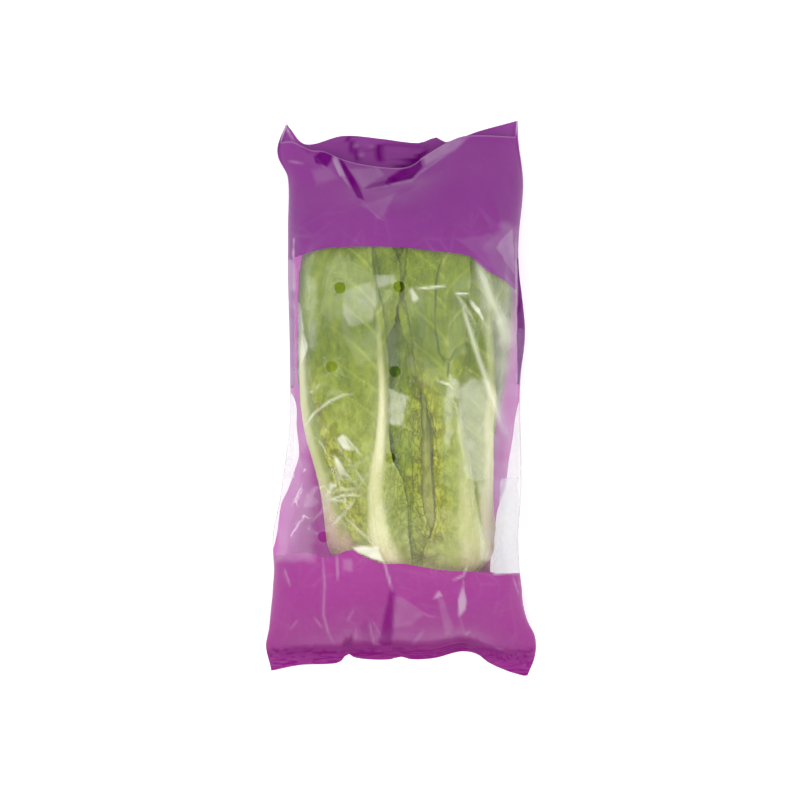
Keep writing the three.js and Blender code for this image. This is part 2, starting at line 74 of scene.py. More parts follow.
LEAF_COUNT = 12
GOLDEN_ANGLE = 137.5
FIRST_LEAF_ANGLE = -15
LEVEL_STEP = 0.035
FIRST_ROOT_Y = BUTT_Y + 5
ROOT_STEP = 3.2
BLADE = 0.7
RIB_ROOT = 7.5
RIB_TIP = 0.4
RIB_HALF_WIDTH = [(0, 16), (0.08, 13), (0.2, 7.5), (0.35, 5), (0.55, 3.2), (0.75, 2), (1, 1.2)]
KEEL = 3
LEAF_HALF_WIDTH = 62
LEAF_OUTLINE = [(0, 0.32), (0.12, 0.38), (0.35, 0.6), (0.6, 0.92), (0.78, 1), (0.92, 0.76), (1, 0.14)]
LEAF_TIPS = [118, 132, 124, 128, 140, 136, 146, 138, 148, 144, 136, 130]
WAVE = 2.6
WAVE_LENGTH = 43
VEIN_STEP = 22  # between lateral veins along the midrib

SEAL_Y = -188
SEAL_LENGTH = 7  # of the welded strip
SEAL_REACH = 34
MOUTH_Y = 186
LIP_REACH = 62
VENT_RADIUS = 4
VENTS = [(-43.7, 77.1), (-2.8, 77.7), (-49.5, 22.4), (-5.4, 19), (-9.1, -40.9), (-55.3, -95.9)]
SLEEVE_LEFT = [
    (-190, -92), (-174, -95), (-160, -93), (-125, -90), (-97, -91), (-70, -86), (-42, -82), (-15, -79),
    (34, -79), (73, -80), (120, -80.5), (155, -80.5), (169, -87), (178, -87.5), (193, -82),
]
SLEEVE_RIGHT = [
    (-195, 87), (-181, 92), (-167, 91.5), (-153, 86), (-139, 83), (-97, 80.5), (-66, 82.5), (-42, 82.5),
    (8, 81.5), (48, 85), (99, 80), (118, 81), (152, 84), (183, 80.5), (195, 80.5),
]
SLEEVE_TOP = [
    (-190, 2.4), (-180, 5), (-165, 33), (-150, 53), (-138, 65), (-115, 77), (-60, 92), (0, 98.5),
    (50, 100.5), (90, 97.5), (120, 85), (150, 62), (170, 42), (183, 28), (195, 20),
]
SLEEVE_EDGE = [
    (-190, 1.4), (-178, 3), (-150, 18), (-115, 32), (-60, 40), (50, 44), (110, 38), (150, 20), (183, 7),
    (195, 5),
]
SLEEVE_UNDER = [
    (-190, 0.4), (-181, 0.2), (-165, -1.5), (-130, -5), (110, -5), (150, -3), (178, 0.3), (195, 0.8),
]
SEAL_SHIFT = [
    (-93, -3), (-72, 1), (-49, 2), (-43, 4), (-38.5, 9), (-34, 6.5), (-24, 5), (-9, 5), (-3, 7), (6, 5),
    (22, 6), (39, 10.5), (50, 9), (59, 3), (74, -3), (87, -6.5),
]
LOWER_LIP = [
    (-86, 8), (-82, 4.5), (-66, -7), (-42, -1), (-15, -3), (12, -6), (24, -2), (30, -5.5), (54, 2.5),
    (80, 9.5),
]
UPPER_LIP = [
    (-86, -6.5), (-76, -5.5), (-62, -11.5), (-53, -12.5), (-44, -17), (-32, -21), (-10, -24), (2, -23),
    (13, -17), (33, -5.5), (45, -1.5), (80, -2),
]

# ---- curves and noise

NOISE_CELLS = 128
NOISE_ORIGIN = 1000


def curve(points, x):
    """A smooth curve through a few points, flat beyond its ends."""
    p = np.asarray(points, float)
    x = np.asarray(x, float)
    last = len(p) - 1
    k = np.clip(np.searchsorted(p[:, 0], x, side="left") - 1, 0, last - 1)
    order = np.arange(last + 1)
    before, after = np.maximum(order - 1, 0), np.minimum(order + 1, last)
    slope = (p[after, 1] - p[before, 1]) / (p[after, 0] - p[before, 0])
    h = p[k + 1, 0] - p[k, 0]
    t = np.clip((x - p[k, 0]) / h, 0, 1)
    value = p[k, 1] * (1 + 2 * t) * (1 - t) ** 2 + slope[k] * h * t * (1 - t) ** 2
    value += p[k + 1, 1] * t * t * (3 - 2 * t) + slope[k + 1] * h * t * t * (t - 1)
    return np.where(x <= p[0, 0], p[0, 1], np.where(x >= p[last, 0], p[last, 1], value))


def ramp(low, high, x):
    """From 0 at low to 1 at high, smooth at both ends and flat beyond them."""
    t = np.clip((np.asarray(x, float) - low) / (high - low), 0, 1)
    return t * t * (3 - 2 * t)


def bell(x, width):
    return np.exp(-((x / width) ** 2))


def tapered(place, first, last):
    """From 0 at the ends of a path to 1 between two shares of the way along it."""
    return ramp(0, first, place) * ramp(1, last, place)


def cells_of(u, v):
    """The columns and rows that places on a grid fall in, and how far into them."""
    i, j = np.floor(u).astype(int), np.floor(v).astype(int)
    return i, j, u - i, v - j


def between(grid, columns, rows, u, v):
    """Values between two columns and two rows of a grid."""
    (i, k), (j, m) = columns, rows
    low = grid[j, i] * (1 - u) + grid[j, k] * u
    high = grid[m, i] * (1 - u) + grid[m, k] * u
    return low * (1 - v) + high * v


def noise(x, y, seed):
    """Smooth noise from -1 to 1 that changes over about one unit of x and y."""
    table = np.random.default_rng(seed).uniform(-1, 1, (NOISE_CELLS, NOISE_CELLS))
    x, y = np.asarray(x, float) + NOISE_ORIGIN, np.asarray(y, float) + NOISE_ORIGIN
    i, j, u, v = cells_of(x, y)
    columns, rows = ((k % NOISE_CELLS, (k + 1) % NOISE_CELLS) for k in (i, j))
    return between(table, columns, rows, ramp(0, 1, u), ramp(0, 1, v))


def moved(values, reach, axis, wrap):
    """Copies of a grid, moved by up to so many cells both ways along one axis."""
    pad = [(0, 0), (0, 0)]
    pad[axis] = (reach, reach)
    padded = np.pad(values, pad, mode="wrap" if wrap else "edge")
    size = values.shape[axis]
    return [np.take(padded, range(k, k + size), axis=axis) for k in range(2 * reach + 1)]


def gaussian(values, sigma, axis, wrap=False):
    """A blur along one axis, sigma in cells."""
    reach = max(1, int(math.ceil(2.6 * sigma)))
    weights = np.exp(-0.5 * (np.arange(-reach, reach + 1) / sigma) ** 2)
    weights /= weights.sum()
    return sum(w * copy for w, copy in zip(weights, moved(values, reach, axis, wrap)))


def widened(values, reach, axis, wrap=False):
    """The largest value within a few cells along one axis."""
    return np.max(moved(values, reach, axis, wrap), axis=0)


def to_path(x, y, points):
    """Distance to a path, distance to its right (left is negative) and share of the way along."""
    p = np.array(points, float)
    seg = p[1:] - p[:-1]
    size = np.hypot(seg[:, 0], seg[:, 1])
    run = np.concatenate([[0], np.cumsum(size)])
    away = np.full(np.shape(x), 1e9)
    right, place = np.zeros(np.shape(x)), np.zeros(np.shape(x))
    for k, (ux, uy) in enumerate(seg / size[:, None]):
        dx, dy = x - p[k, 0], y - p[k, 1]
        along = np.clip(dx * ux + dy * uy, 0, size[k])
        here = np.hypot(dx - along * ux, dy - along * uy)
        nearer = here < away
        away = np.where(nearer, here, away)
        right = np.where(nearer, dx * uy - dy * ux, right)
        place = np.where(nearer, (run[k] + along) / run[-1], place)
    return away, right, place


# ---- the head's sections

ANGLES = 600
CELL = 0.55  # the usual width of a cell of the field, in mm
ROW_STEP = 0.8
FIELD_END = 152.5
FIELD_Y = np.arange(BUTT_Y, FIELD_END, ROW_STEP)
FIELD_PHI = np.arange(ANGLES) * TURN / ANGLES


def outline(phi, y):
    """The radius of the head's outline."""
    across = np.abs(np.sin(phi) / curve(HALF_WIDTH, y)) ** SECTION_POWER
    deep = np.abs(np.cos(phi) / curve(HALF_DEPTH, y)) ** SECTION_POWER
    return (across + deep) ** (-1 / SECTION_POWER)


def axis_z(y):
    return BACK_Z + curve(HALF_DEPTH, y)


def head_point(phi, y, r):
    x = curve(AXIS_X, y) + r * np.sin(phi)
    return np.stack([x, y + 0 * phi, axis_z(y) + r * np.cos(phi)], axis=-1)


GRID_PHI, GRID_Y = np.meshgrid(FIELD_PHI, FIELD_Y)
OUTLINE = outline(GRID_PHI, GRID_Y)
# Length along the outline from angle 0, with one turn before and one after.
TURNS = np.concatenate([OUTLINE, OUTLINE, OUTLINE, OUTLINE[:, :1]], axis=1)
LENGTH = np.zeros_like(TURNS)
LENGTH[:, 1:] = np.cumsum((TURNS[:, 1:] + TURNS[:, :-1]) / 2, axis=1) * TURN / ANGLES
LENGTH -= LENGTH[:, ANGLES : ANGLES + 1]
LENGTH_PHI = (np.arange(3 * ANGLES + 1) - ANGLES) * TURN / ANGLES


def sample(field, phi, y):
    """A field's values between its cells."""
    rows = np.clip((y - BUTT_Y) / ROW_STEP, 0, len(FIELD_Y) - 1.001)
    i, j, u, v = cells_of(np.mod(phi / TURN, 1) * ANGLES, rows)
    return between(field, (i % ANGLES, (i + 1) % ANGLES), (j, j + 1), u, v)


def blurred(field, mm):
    """A blur of about mm millimetres both ways."""
    return gaussian(gaussian(field, mm / CELL, 1, wrap=True), mm / ROW_STEP, 0)


def spread_out(field, mm):
    """The largest value within about mm millimetres both ways."""
    return widened(widened(field, int(mm / CELL), 1, wrap=True), int(mm / ROW_STEP), 0)


# ---- leaves

# Packing has turned and folded the leaves that face up. What sets a leaf apart, by its place from
# the outside in; leaf_rule says what each word stands for.
LEAF_CHANGES = {
    0: {
        "left": [(0, 0.65), (0.15, 0.74), (0.3, 0.87), (0.45, 0.88), (0.65, 0.86), (0.8, 0.78), (1, 0.78)],
        "right": [
            (0, 0.45), (0.12, 0.62), (0.22, 0.64), (0.3, 0.5), (0.36, 0.22), (0.44, 0.1), (0.6, 0.06),
            (1, 0.06),
        ],
        "bend": [
            (0, -13), (0.12, -14.5), (0.2, -15), (0.3, -12), (0.4, -4.7), (0.47, -1.6), (0.55, -2),
            (0.67, -5.2), (0.78, -9.8), (0.88, -14.5), (1, -22),
        ],
        "frill": (1.0, 0.0),
        "frill_reach": 13,
        "pale": 0.62,
        "base": 0.4,
        "light": [(0, 1.4), (0.35, 1.35), (0.47, 1.05), (0.56, 0.6), (0.66, 0.12), (0.75, 0)],
        "flutter": (1.0, 0.4),
        "hug": (0.0, 0.9),
        "fresh": (0.0, 0.8),
    },
    1: {
        "angle": math.radians(48),
        "left": [
            (0, 1.35), (0.09, 1.25), (0.13, 0.95), (0.18, 0.72), (0.28, 0.6), (0.39, 0.44), (0.47, 0.36),
            (0.56, 0.42), (0.65, 0.38), (1, 0.46),
        ],
        "right": [
            (0, 0.6), (0.12, 0.42), (0.23, 0.27), (0.33, 0.13), (0.42, 0.07), (0.5, 0.09), (0.6, 0.16),
            (0.72, 0.21), (0.8, 0.27), (1, 0.42),
        ],
        "bend": [
            (0, 8.5), (0.07, 7), (0.17, 3), (0.28, 0), (0.4, -1), (0.5, -8), (0.63, -13.5), (0.8, -18),
            (1, -18),
        ],
        "frill": (1.0, 0.3),
        "frill_reach": 9,
        "rib": [(0, 0.6), (0.1, 0.8), (0.22, 1.15), (0.4, 1.2), (1, 1.2)],
        "rib_end": 0.46,
        "pale": 0.3,
        "base": 0.25,
        "cream": 0.65,
        "veins": 0.7,
        "flutter": (0.3, 0.4),
        "hug": (0.9, 0.7),
        "light": [(0.1, 1.2), (0.36, 1.1), (0.5, 0.5), (0.62, 0)],
    },
    2: {
        "angle": math.radians(-84),
        "level": 0.955,
        "bend": [(0, 4), (0.1, 5), (0.2, 9), (0.36, 10), (0.5, 9), (0.64, 9), (0.78, 14), (1, 17)],
        "rib": [(0, 1.6), (0.6, 1.6), (0.8, 3), (1, 3)],
        "pale": 1.15,
        "blush": 1.0,
    },
    3: {
        "angle": math.radians(78),
        "bend": [(0, 6), (0.1, -1), (0.3, -4), (0.4, -6), (0.5, -8), (0.57, -11), (0.68, -15), (1, -19)],
        "rib": [(0, 1.6), (1, 1.5)],
        "pale": 0.6,
        "blush": 0.7,
    },
    5: {
        "right": [
            (0, 2.2), (0.05, 2.08), (0.1, 1.86), (0.16, 1.56), (0.24, 1.4), (0.32, 1.29), (0.4, 1.19),
            (0.46, 1.08), (0.61, 0.8), (0.74, 0.62), (1, 0.63),
        ],
        "fresh": (1.0, 1.0),
        "frill": (0.0, 0.7),
        "base": 0.1,
        "flutter": (1.0, 0.3),
        "hug": (0.0, 0.95),
    },
    6: {"left": [(0, 1), (0.12, 1), (0.4, 0.62), (1, 0.62)]},
    8: {
        "angle": math.radians(20),
        "level": 0.8,
        "bend": [(0, 2.5), (0.1, 0), (0.2, -1), (0.3, 1), (0.38, 1.5), (0.6, -3), (1, -6)],
        "fresh": (1.0, 1.0),
        "rib": [(0, 0.8), (1, 0.8)],
        "pale": 0.4,
        "base": 0.0,
        "stain": 1.0,
    },
}
SHOWN_LEAVES = (0, 1, 2, 3, 5, 6, 8)
FULL = [(0, 1), (1, 1)]  # a share of 1 all along the leaf


def leaf_rule(i):
    """The settings of one leaf. Pairs are for its left and right side, lists run along it."""
    root = FIRST_ROOT_Y + ROOT_STEP * i
    leaf = SimpleNamespace(
        number=i,
        name=f"leaf_{i + 1:02d}",
        angle=math.radians(FIRST_LEAF_ANGLE + i * GOLDEN_ANGLE),  # of the midrib
        level=1 - LEVEL_STEP * i,  # how far out it lies, as a share of the head's outline
        root=root,
        tip=LEAF_TIPS[i],
        length=LEAF_TIPS[i] - root,
        half_width=LEAF_HALF_WIDTH * (1 - 0.022 * i),
        phase=2.1 * i,  # of the waves of its margin
        left=FULL,  # share of the half width that each side has
        right=FULL,
        bend=[(0, 0), (1, 5 * math.sin(2.4 * i))],  # of the midrib to the right, in degrees
        fresh=(0.0, 0.0),  # how green and blistered the blade is
        pale=0.6,  # share of the length over which the rib is cream
        rib=FULL,  # width of the rib that shows
        rib_end=2.0,  # share of the length at which the rib has sunk into the blade
        base=1.0,  # how pale the foot of the blade is
        light=[(0.12, 1), (0.36, 0.5), (0.6, 0)],  # how light the blade is
        cream=1.0,  # how cream the rib is
        flutter=(1.0, 1.0),  # how far the margin stands off, as a share
        hug=(0.0, 0.0),  # how closely the margin hugs what lies under it
        veins=1.0,  # how light the lateral veins are
        blush=0.0,  # how pink the rib is
        frill=(0.6, 0.6),  # how yellow and crimped the margin is
        frill_reach=6,  # how far in the yellow goes, in mm
        stain=0.0,  # how brown the rib is
    )
    vars(leaf).update(LEAF_CHANGES.get(i, {}))
    return leaf


def own_noise(leaf, x, y, seed):
    """Noise that differs from leaf to leaf."""
    return noise(x, y, seed + leaf.number)


def side_width(leaf, s, side):
    share = np.where(side < 0, curve(leaf.left, s), curve(leaf.right, s))
    wave = 1 + 0.04 * np.sin(9 * s + leaf.phase + side)
    along = s * leaf.length
    torn = 0.8 * own_noise(leaf, along / 9, side * 3.7, 50)
    torn = torn + 0.6 * own_noise(leaf, along / 3.5, side * 5.1, 70)
    width = leaf.half_width * curve(LEAF_OUTLINE, s) * share * wave
    return width + torn * np.clip(width / 12, 0.15, 1) * ramp(0.1, 0.3, s)


def midrib_angle(leaf, s):
    return leaf.angle + np.radians(curve(leaf.bend, s))


def vein_height(leaf, s, arc):
    """From 0 on the blade to 1 on a lateral vein, and how far the nearest vein is, in mm."""
    reach = np.abs(arc)
    side = np.where(arc < 0, 0.0, 0.43)  # the veins of the two sides don't meet
    along = s * leaf.length
    wander = 4 * own_noise(leaf, along / 40 + 3 * side, arc / 60, 31)
    rise = along - 0.72 * reach - 7 * (1 - np.exp(-reach / 7)) + wander
    place = rise / VEIN_STEP + side + 0.37 * leaf.number
    off = np.abs(place - np.round(place)) * VEIN_STEP
    return bell(off, 0.6 + 1.1 * np.exp(-reach / 9)) * (1 - ramp(14, 46, reach)), off


def leaf_relief(leaf, s, t, arc):
    """How far the inner face stands off its bed, the leaf's thickness, and what shows on it."""
    along = s * leaf.length
    reach = np.abs(arc)
    sided = (leaf.flutter, leaf.frill, leaf.fresh)
    flutter, frilled, fresh = (np.where(arc < 0, *pair) for pair in sided)
    keel = KEEL * np.exp(-reach / 9) * ramp(0.1, 0.4, s) * (1 - 0.6 * s)
    margin = np.clip(np.abs(t), 0, 1)
    wave = 0.5 * (1 + np.sin(TURN * along / WAVE_LENGTH + leaf.phase))
    lift = keel + WAVE * flutter * wave * margin**3 * ramp(0.2, 0.5, s)
    # the frilled margin
    from_edge = np.abs(1 - margin) * side_width(leaf, s, np.sign(arc))
    edge = np.exp(-from_edge / 6) * (0.3 + 0.7 * frilled)
    beat = along / 4.6 + 1.5 * own_noise(leaf, along / 13, 2 * t, 7)
    frill = (0.5 + 0.5 * np.sin(TURN * beat)) * (0.6 + 0.4 * own_noise(leaf, along / 20, t, 11))
    lift += 1.9 * flutter * frill * edge * ramp(0.08, 0.25, s)
    # blisters between the veins, fewer and flatter towards the tip
    vein, off = vein_height(leaf, s, arc)
    blade = ramp(2, 9, reach) * ramp(0.06, 0.2, s)
    fresh = fresh * ramp(1, 6, reach)
    blister = np.abs(own_noise(leaf, along / 6.5, arc / 5, 3))
    blister += 0.5 * np.abs(own_noise(leaf, along / 3, arc / 2.6, 5))
    swell = 0.9 * blister * np.clip(off / 5, 0.3, 1) + 0.25 * np.clip(off / 6, 0, 1)
    lift += blade * (0.9 + 0.8 * fresh) * swell
    lift += 0.5 * blade * (0.5 + 0.5 * own_noise(leaf, along / 34, arc / 15, 13))
    # the rib and its ridges
    width = curve(RIB_HALF_WIDTH, s) * curve(leaf.rib, s)
    rib = RIB_ROOT * (1 - s) ** 1.6 + RIB_TIP
    ribbed = bell(arc, width) * (1 - 0.85 * ramp(leaf.rib_end - 0.16, leaf.rib_end, s))
    ridges = 0.2 * np.cos(TURN * arc / 2.7) * ribbed * (1 - s) ** 2
    thickness = BLADE + rib * ribbed + ridges + 0.25 * vein * ramp(0.06, 0.2, s)
    thickness -= 0.3 * ramp(0.85, 1, margin)
    # colour: the pale rib, which fades and narrows upwards, the pale base and the yellow frill
    fade = 1 - ramp(leaf.pale * 0.75, leaf.pale * 1.25, s)
    ragged = 1 + 0.15 * own_noise(leaf, along / 22, np.sign(arc) * 3.3, 19)
    pale = np.exp(-((arc / (0.8 * width * ragged)) ** 4)) * (0.1 + 0.9 * fade)
    pale = np.maximum(pale, 0.55 * np.exp(-reach / (0.9 * width)) * fade)
    pale *= leaf.cream
    base = leaf.base * ramp(0.26, 0.02, s + 0.05 * own_noise(leaf, along / 9, arc / 5, 17))
    spread = leaf.frill_reach * (1 + 0.8 * own_noise(leaf, along / 12, arc / 9, 23))
    yellow = frilled * bell(from_edge, spread) * ramp(0.68, 0.42, s)
    looks = {
        "pale": np.maximum(pale, base),
        "light": curve(leaf.light, s + 0.06 * own_noise(leaf, along / 25, arc / 9, 29)),
        "vein": leaf.veins * vein,
        "yellow": yellow * (1 - 0.6 * pale),
        "root": np.maximum(ramp(0.16, 0.0, s), leaf.blush * ramp(0.32, 0.1, s)),
        "stain": leaf.stain * ribbed + 0 * s,
        "fresh": fresh,
    }
    return lift, thickness, looks


def root_flare(leaf, y):
    return ramp(-40, 26, y - leaf.root)


def bed_of(leaf, under):
    """The radii that a leaf's inner face follows, and those of what lies under it."""
    floor = under + CLEARANCE
    wanted = np.maximum(floor, leaf.level * OUTLINE * root_flare(leaf, GRID_Y))
    return np.maximum(blurred(wanted, 4), floor), np.maximum(blurred(floor, 2.5), floor)


def laid(leaf, t, bed, floor):
    """The bed, brought down towards what lies under it where a margin hugs that."""
    return bed + (floor - bed) * np.where(t < 0, *leaf.hug) * ramp(0.3, 0.95, np.abs(t))


def arcs_on_field(leaf):
    """Share along the leaf, share across it and length from its midrib, at each field point."""
    s = np.clip((GRID_Y - leaf.root) / leaf.length, 0, 1)
    middle = np.mod(midrib_angle(leaf, s[:, 0]), TURN)
    start = np.array([np.interp(m, LENGTH_PHI, LENGTH[j]) for j, m in enumerate(middle)])
    whole = (LENGTH[:, 2 * ANGLES] - LENGTH[:, ANGLES])[:, None]
    arc = LENGTH[:, ANGLES : 2 * ANGLES] - start[:, None]
    arc = (arc + whole / 2) % whole - whole / 2
    arc *= leaf.level
    return s, arc / side_width(leaf, s, np.sign(arc)), arc


def covered(leaf, under, bed, floor):
    """The radii of what lies under the next leaf out, with this one laid."""
    s, t, arc = arcs_on_field(leaf)
    lift, thickness, _ = leaf_relief(leaf, s, t, arc)
    here = (np.abs(t) <= 1) & (GRID_Y >= leaf.root) & (GRID_Y <= leaf.tip)
    outer = np.where(here, laid(leaf, t, bed, floor) + lift + thickness, 0)
    return np.maximum(under, spread_out(outer, 1.2))


# Cracks and hollows pressed into the blades by the packing, darkened along them with painted shade, by
# the place of the leaf: the path, half the width and the depth.
RIGHT_FOLD = [(63, 54), (64.5, 49.7), (66.6, 31), (66.2, 13), (67, 0)]
UPPER_CRACK = ([(-21.5, 107), (-20.5, 94), (-18.5, 82), (-15.5, 69.5), (-12, 60.5)], 1, 0.4)
CRACKS = {
    0: [UPPER_CRACK],
    1: [
        ([(27.5, 99), (24, 87), (23, 80), (22.5, 66), (22, 55)], 0.65, 0.5),
        ([(22, 55), (22.5, 47), (24, 40), (25, 32), (29, 26.5), (33, 27), (36.5, 35)], 0.65, 0.5),
        ([(32, 27), (31, 15)], 0.65, 0.5),
    ],
    3: [(RIGHT_FOLD, 3, 1)],
    5: [
        UPPER_CRACK,
        ([(9, 77), (11, 71.5)], 0.9, 0.5),
        ([(3, 60), (7, 44), (6.5, 26)], 0.9, 0.5),
        ([(-18, 84), (-13, 70), (-10, 55), (-7.5, 38), (-6.5, 22), (-8, 8)], 5.5, 1.4),
        ([(-9, -22), (-8, -40), (-2, -58)], 2.5, 0.8),
    ],
    6: [(RIGHT_FOLD, 3, 1)],
}


def leaf_grid(leaf, bed, floor, across, along):
    """Inner and outer points of a leaf, rows by columns, with what its material reads."""
    t = np.linspace(-1, 1, across)
    t, s = np.meshgrid(np.sign(t) * np.abs(t) ** 1.15, np.linspace(0, 1, along))
    y = leaf.root + s * leaf.length
    arc = t * side_width(leaf, s, np.sign(t))
    phi = np.empty_like(t)
    middle = np.mod(midrib_angle(leaf, s[:, 0]), TURN)
    rows = np.clip((y[:, 0] - BUTT_Y) / ROW_STEP, 0, len(FIELD_Y) - 1)
    for j, row in enumerate(np.round(rows).astype(int)):
        start = np.interp(middle[j], LENGTH_PHI, LENGTH[row])
        phi[j] = np.interp(start + arc[j] / leaf.level, LENGTH[row], LENGTH_PHI)
    lift, thickness, looks = leaf_relief(leaf, s, t, arc)
    inner = laid(leaf, t, sample(bed, phi, y), sample(floor, phi, y)) + lift
    outer = head_point(phi, y, inner + thickness)
    crack_shade, pressed = np.zeros_like(t), np.zeros_like(t)
    for path, half_width, depth in CRACKS.get(leaf.number, []):
        away, _, place = to_path(outer[..., 0], outer[..., 1], path)
        here = bell(away, half_width * (0.3 + tapered(place, 0.3, 0.7)))
        crack_shade, pressed = np.maximum(crack_shade, here), np.maximum(pressed, depth * here)
    # the mask along the cracks, which the material darkens as painted shade
    looks["crack_shade"] = crack_shade
    return head_point(phi, y, inner), head_point(phi, y, inner + thickness - pressed), looks


# ---- stem and heart


def heart_radius(phi, y):
    s = np.clip((y - HEART_ROOT_Y) / (HEART_TIP_Y - HEART_ROOT_Y), 0, 1)
    turn = np.mod(phi / TURN * HEART_LEAVES + 1.4 * s, 1)
    step = 0.12 * (turn - 0.5)
    ends = np.sqrt(1 - np.where(s < 0.5, (2 * s - 1) ** 2, 0.96 * (2 * s - 1) ** 4))
    return HEART_LEVEL * outline(phi, y) * ends * (0.94 + step)


def core_radius(phi, y):
    stem = np.where(y < STEM_RADIUS[-1][0], curve(STEM_RADIUS, y), 0)
    heart = np.where(y > HEART_ROOT_Y, heart_radius(phi, y), 0)
    return np.where(y > HEART_TIP_Y, 0, np.maximum(np.maximum(stem, heart), 5))


# ---- meshes


def link(thing):
    bpy.context.scene.collection.objects.link(thing)


def new_piece(name, points, faces, material, looks):
    """An object from points in the head's frame, in mm, with float attributes on its points."""
    mesh = bpy.data.meshes.new(name)
    co = (np.asarray(points, float).reshape(-1, 3) + SHIFT) * MM
    sides = np.concatenate([np.full(len(part), part.shape[1]) for part in faces])
    corners = np.concatenate([part.ravel() for part in faces])
    mesh.vertices.add(len(co))
    mesh.vertices.foreach_set("co", co.ravel())
    mesh.loops.add(len(corners))
    mesh.loops.foreach_set("vertex_index", corners)
    mesh.polygons.add(len(sides))
    mesh.polygons.foreach_set("loop_start", np.cumsum(sides) - sides)
    mesh.polygons.foreach_set("use_smooth", np.full(len(sides), True))
    mesh.update(calc_edges=True)
    mesh.validate()
    for key, values in looks.items():
        layer = mesh.attributes.new(key, "FLOAT", "POINT")
        layer.data.foreach_set("value", np.asarray(values, float).ravel())
    mesh.materials.append(material)
    piece = bpy.data.objects.new(name, mesh)
    link(piece)
    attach(piece, "root")
    return piece


def grid_faces(rows, columns, start=0, turned=False, closed=False):
    """Quads between the points of a grid, from a first point on, the last column joined if closed."""
    j, i = np.mgrid[0 : rows - 1, 0 : columns if closed else columns - 1]
    j, i = j.ravel(), i.ravel()
    k = (i + 1) % columns
    quad = [j * columns + i, j * columns + k, (j + 1) * columns + k, (j + 1) * columns + i]
    return np.stack(quad[::-1] if turned else quad, axis=1) + start


def rim_faces(rows, columns):
    """Quads that join the edges of two grids of points laid one after the other."""
    places = np.arange(rows * columns).reshape(rows, columns)
    sides = [places[0], places[1:, -1], places[-1, -2::-1], places[-2:0:-1, 0]]
    rim = np.concatenate(sides)
    following = np.roll(rim, -1)
    quad = [following, following + places.size, rim + places.size, rim]
    return np.stack(quad, axis=1)


# ---- materials


class Nodes:
    """Short calls for building a material's node tree."""

    def __init__(self, name):
        self.material = bpy.data.materials.new(name)
        self.material.use_nodes = True
        self.tree = self.material.node_tree
        self.tree.nodes.clear()
        self.out = self.tree.nodes.new("ShaderNodeOutputMaterial")

    def put(self, socket, value):
        if isinstance(value, bpy.types.NodeSocket):
            self.tree.links.new(value, socket)
        else:
            socket.default_value = value

    def node(self, kind, settings=(), values=(), **inputs):
        """A node with its settings, its first inputs in their order, and further ones by name."""
        node = self.tree.nodes.new(kind)
        for key, value in dict(settings).items():
            setattr(node, key, value)
        for socket, value in zip(node.inputs, values):
            self.put(socket, value)
        for key, value in inputs.items():
            self.put(node.inputs[key.replace("_", " ")], value)
        return node

    def add(self, kind, settings=(), values=(), **inputs):
        return self.node(kind, settings, values, **inputs).outputs[0]

    def math(self, operation, *values):
        return self.add("ShaderNodeMath", {"operation": operation}, values)

    def times(self, value, factor):
        return self.math("MULTIPLY", value, factor)

    def step(self, value, low, high, to_low=0.0, to_high=1.0):
        settings = {"interpolation_type": "SMOOTHSTEP"}
        return self.add("ShaderNodeMapRange", settings, (value, low, high, to_low, to_high))

    def mix(self, share, a, b, blend="MIX"):
        """A colour that is turned into another one, or joined with it, by a share."""
        settings = {"data_type": "RGBA", "blend_type": blend, "clamp_result": blend == "SUBTRACT"}
        node = self.node("ShaderNodeMix", settings)
        for place, value in ((0, share), (6, a), (7, b)):
            self.put(node.inputs[place], value)
        return node.outputs[2]

    def attribute(self, name):
        return self.node("ShaderNodeAttribute", {"attribute_name": name}).outputs["Fac"]

    def place(self):
        return self.node("ShaderNodeTexCoord").outputs["Object"]

    def place_y(self):
        return self.node("ShaderNodeSeparateXYZ", Vector=self.place()).outputs["Y"]

    def noise(self, scale, detail, roughness, stretch=(1, 1, 1), output=0):
        where = self.add("ShaderNodeMapping", Vector=self.place(), Scale=stretch)
        inputs = {"Vector": where, "Scale": scale, "Detail": detail, "Roughness": roughness}
        return self.node("ShaderNodeTexNoise", **inputs).outputs[output]

    def cells(self, scale, wobble, reach):
        """Distance to the edge of irregular cells, the place moved about by a noise colour."""
        terms = (wobble, (reach, reach, reach), self.place())
        where = self.add("ShaderNodeVectorMath", {"operation": "MULTIPLY_ADD"}, terms)
        settings = {"feature": "DISTANCE_TO_EDGE"}
        node = self.node("ShaderNodeTexVoronoi", settings, Vector=where, Scale=scale)
        return node.outputs["Distance"]

    def bump(self, strength, distance, height):
        return self.add("ShaderNodeBump", Strength=strength, Distance=distance, Height=height)

    def surface(self, colour, roughness, specular, **inputs):
        inputs.update(Base_Color=colour, Roughness=roughness, Specular_IOR_Level=specular)
        return self.add("ShaderNodeBsdfPrincipled", **inputs)

    def blend(self, share, first, second):
        """Two shaders in one, with a share of the second."""
        node = self.node("ShaderNodeMixShader", Fac=share)
        self.put(node.inputs[1], first)
        self.put(node.inputs[2], second)
        return node.outputs[0]

    def done(self, shader):
        self.put(self.out.inputs[0], shader)
        return self.material


def srgb(red, green, blue):
    """A colour given as 0 to 255 on a screen, as linear light."""
    values = [v / 255 for v in (red, green, blue)]
    return (*[v / 12.92 if v <= 0.04045 else ((v + 0.055) / 1.055) ** 2.4 for v in values], 1.0)


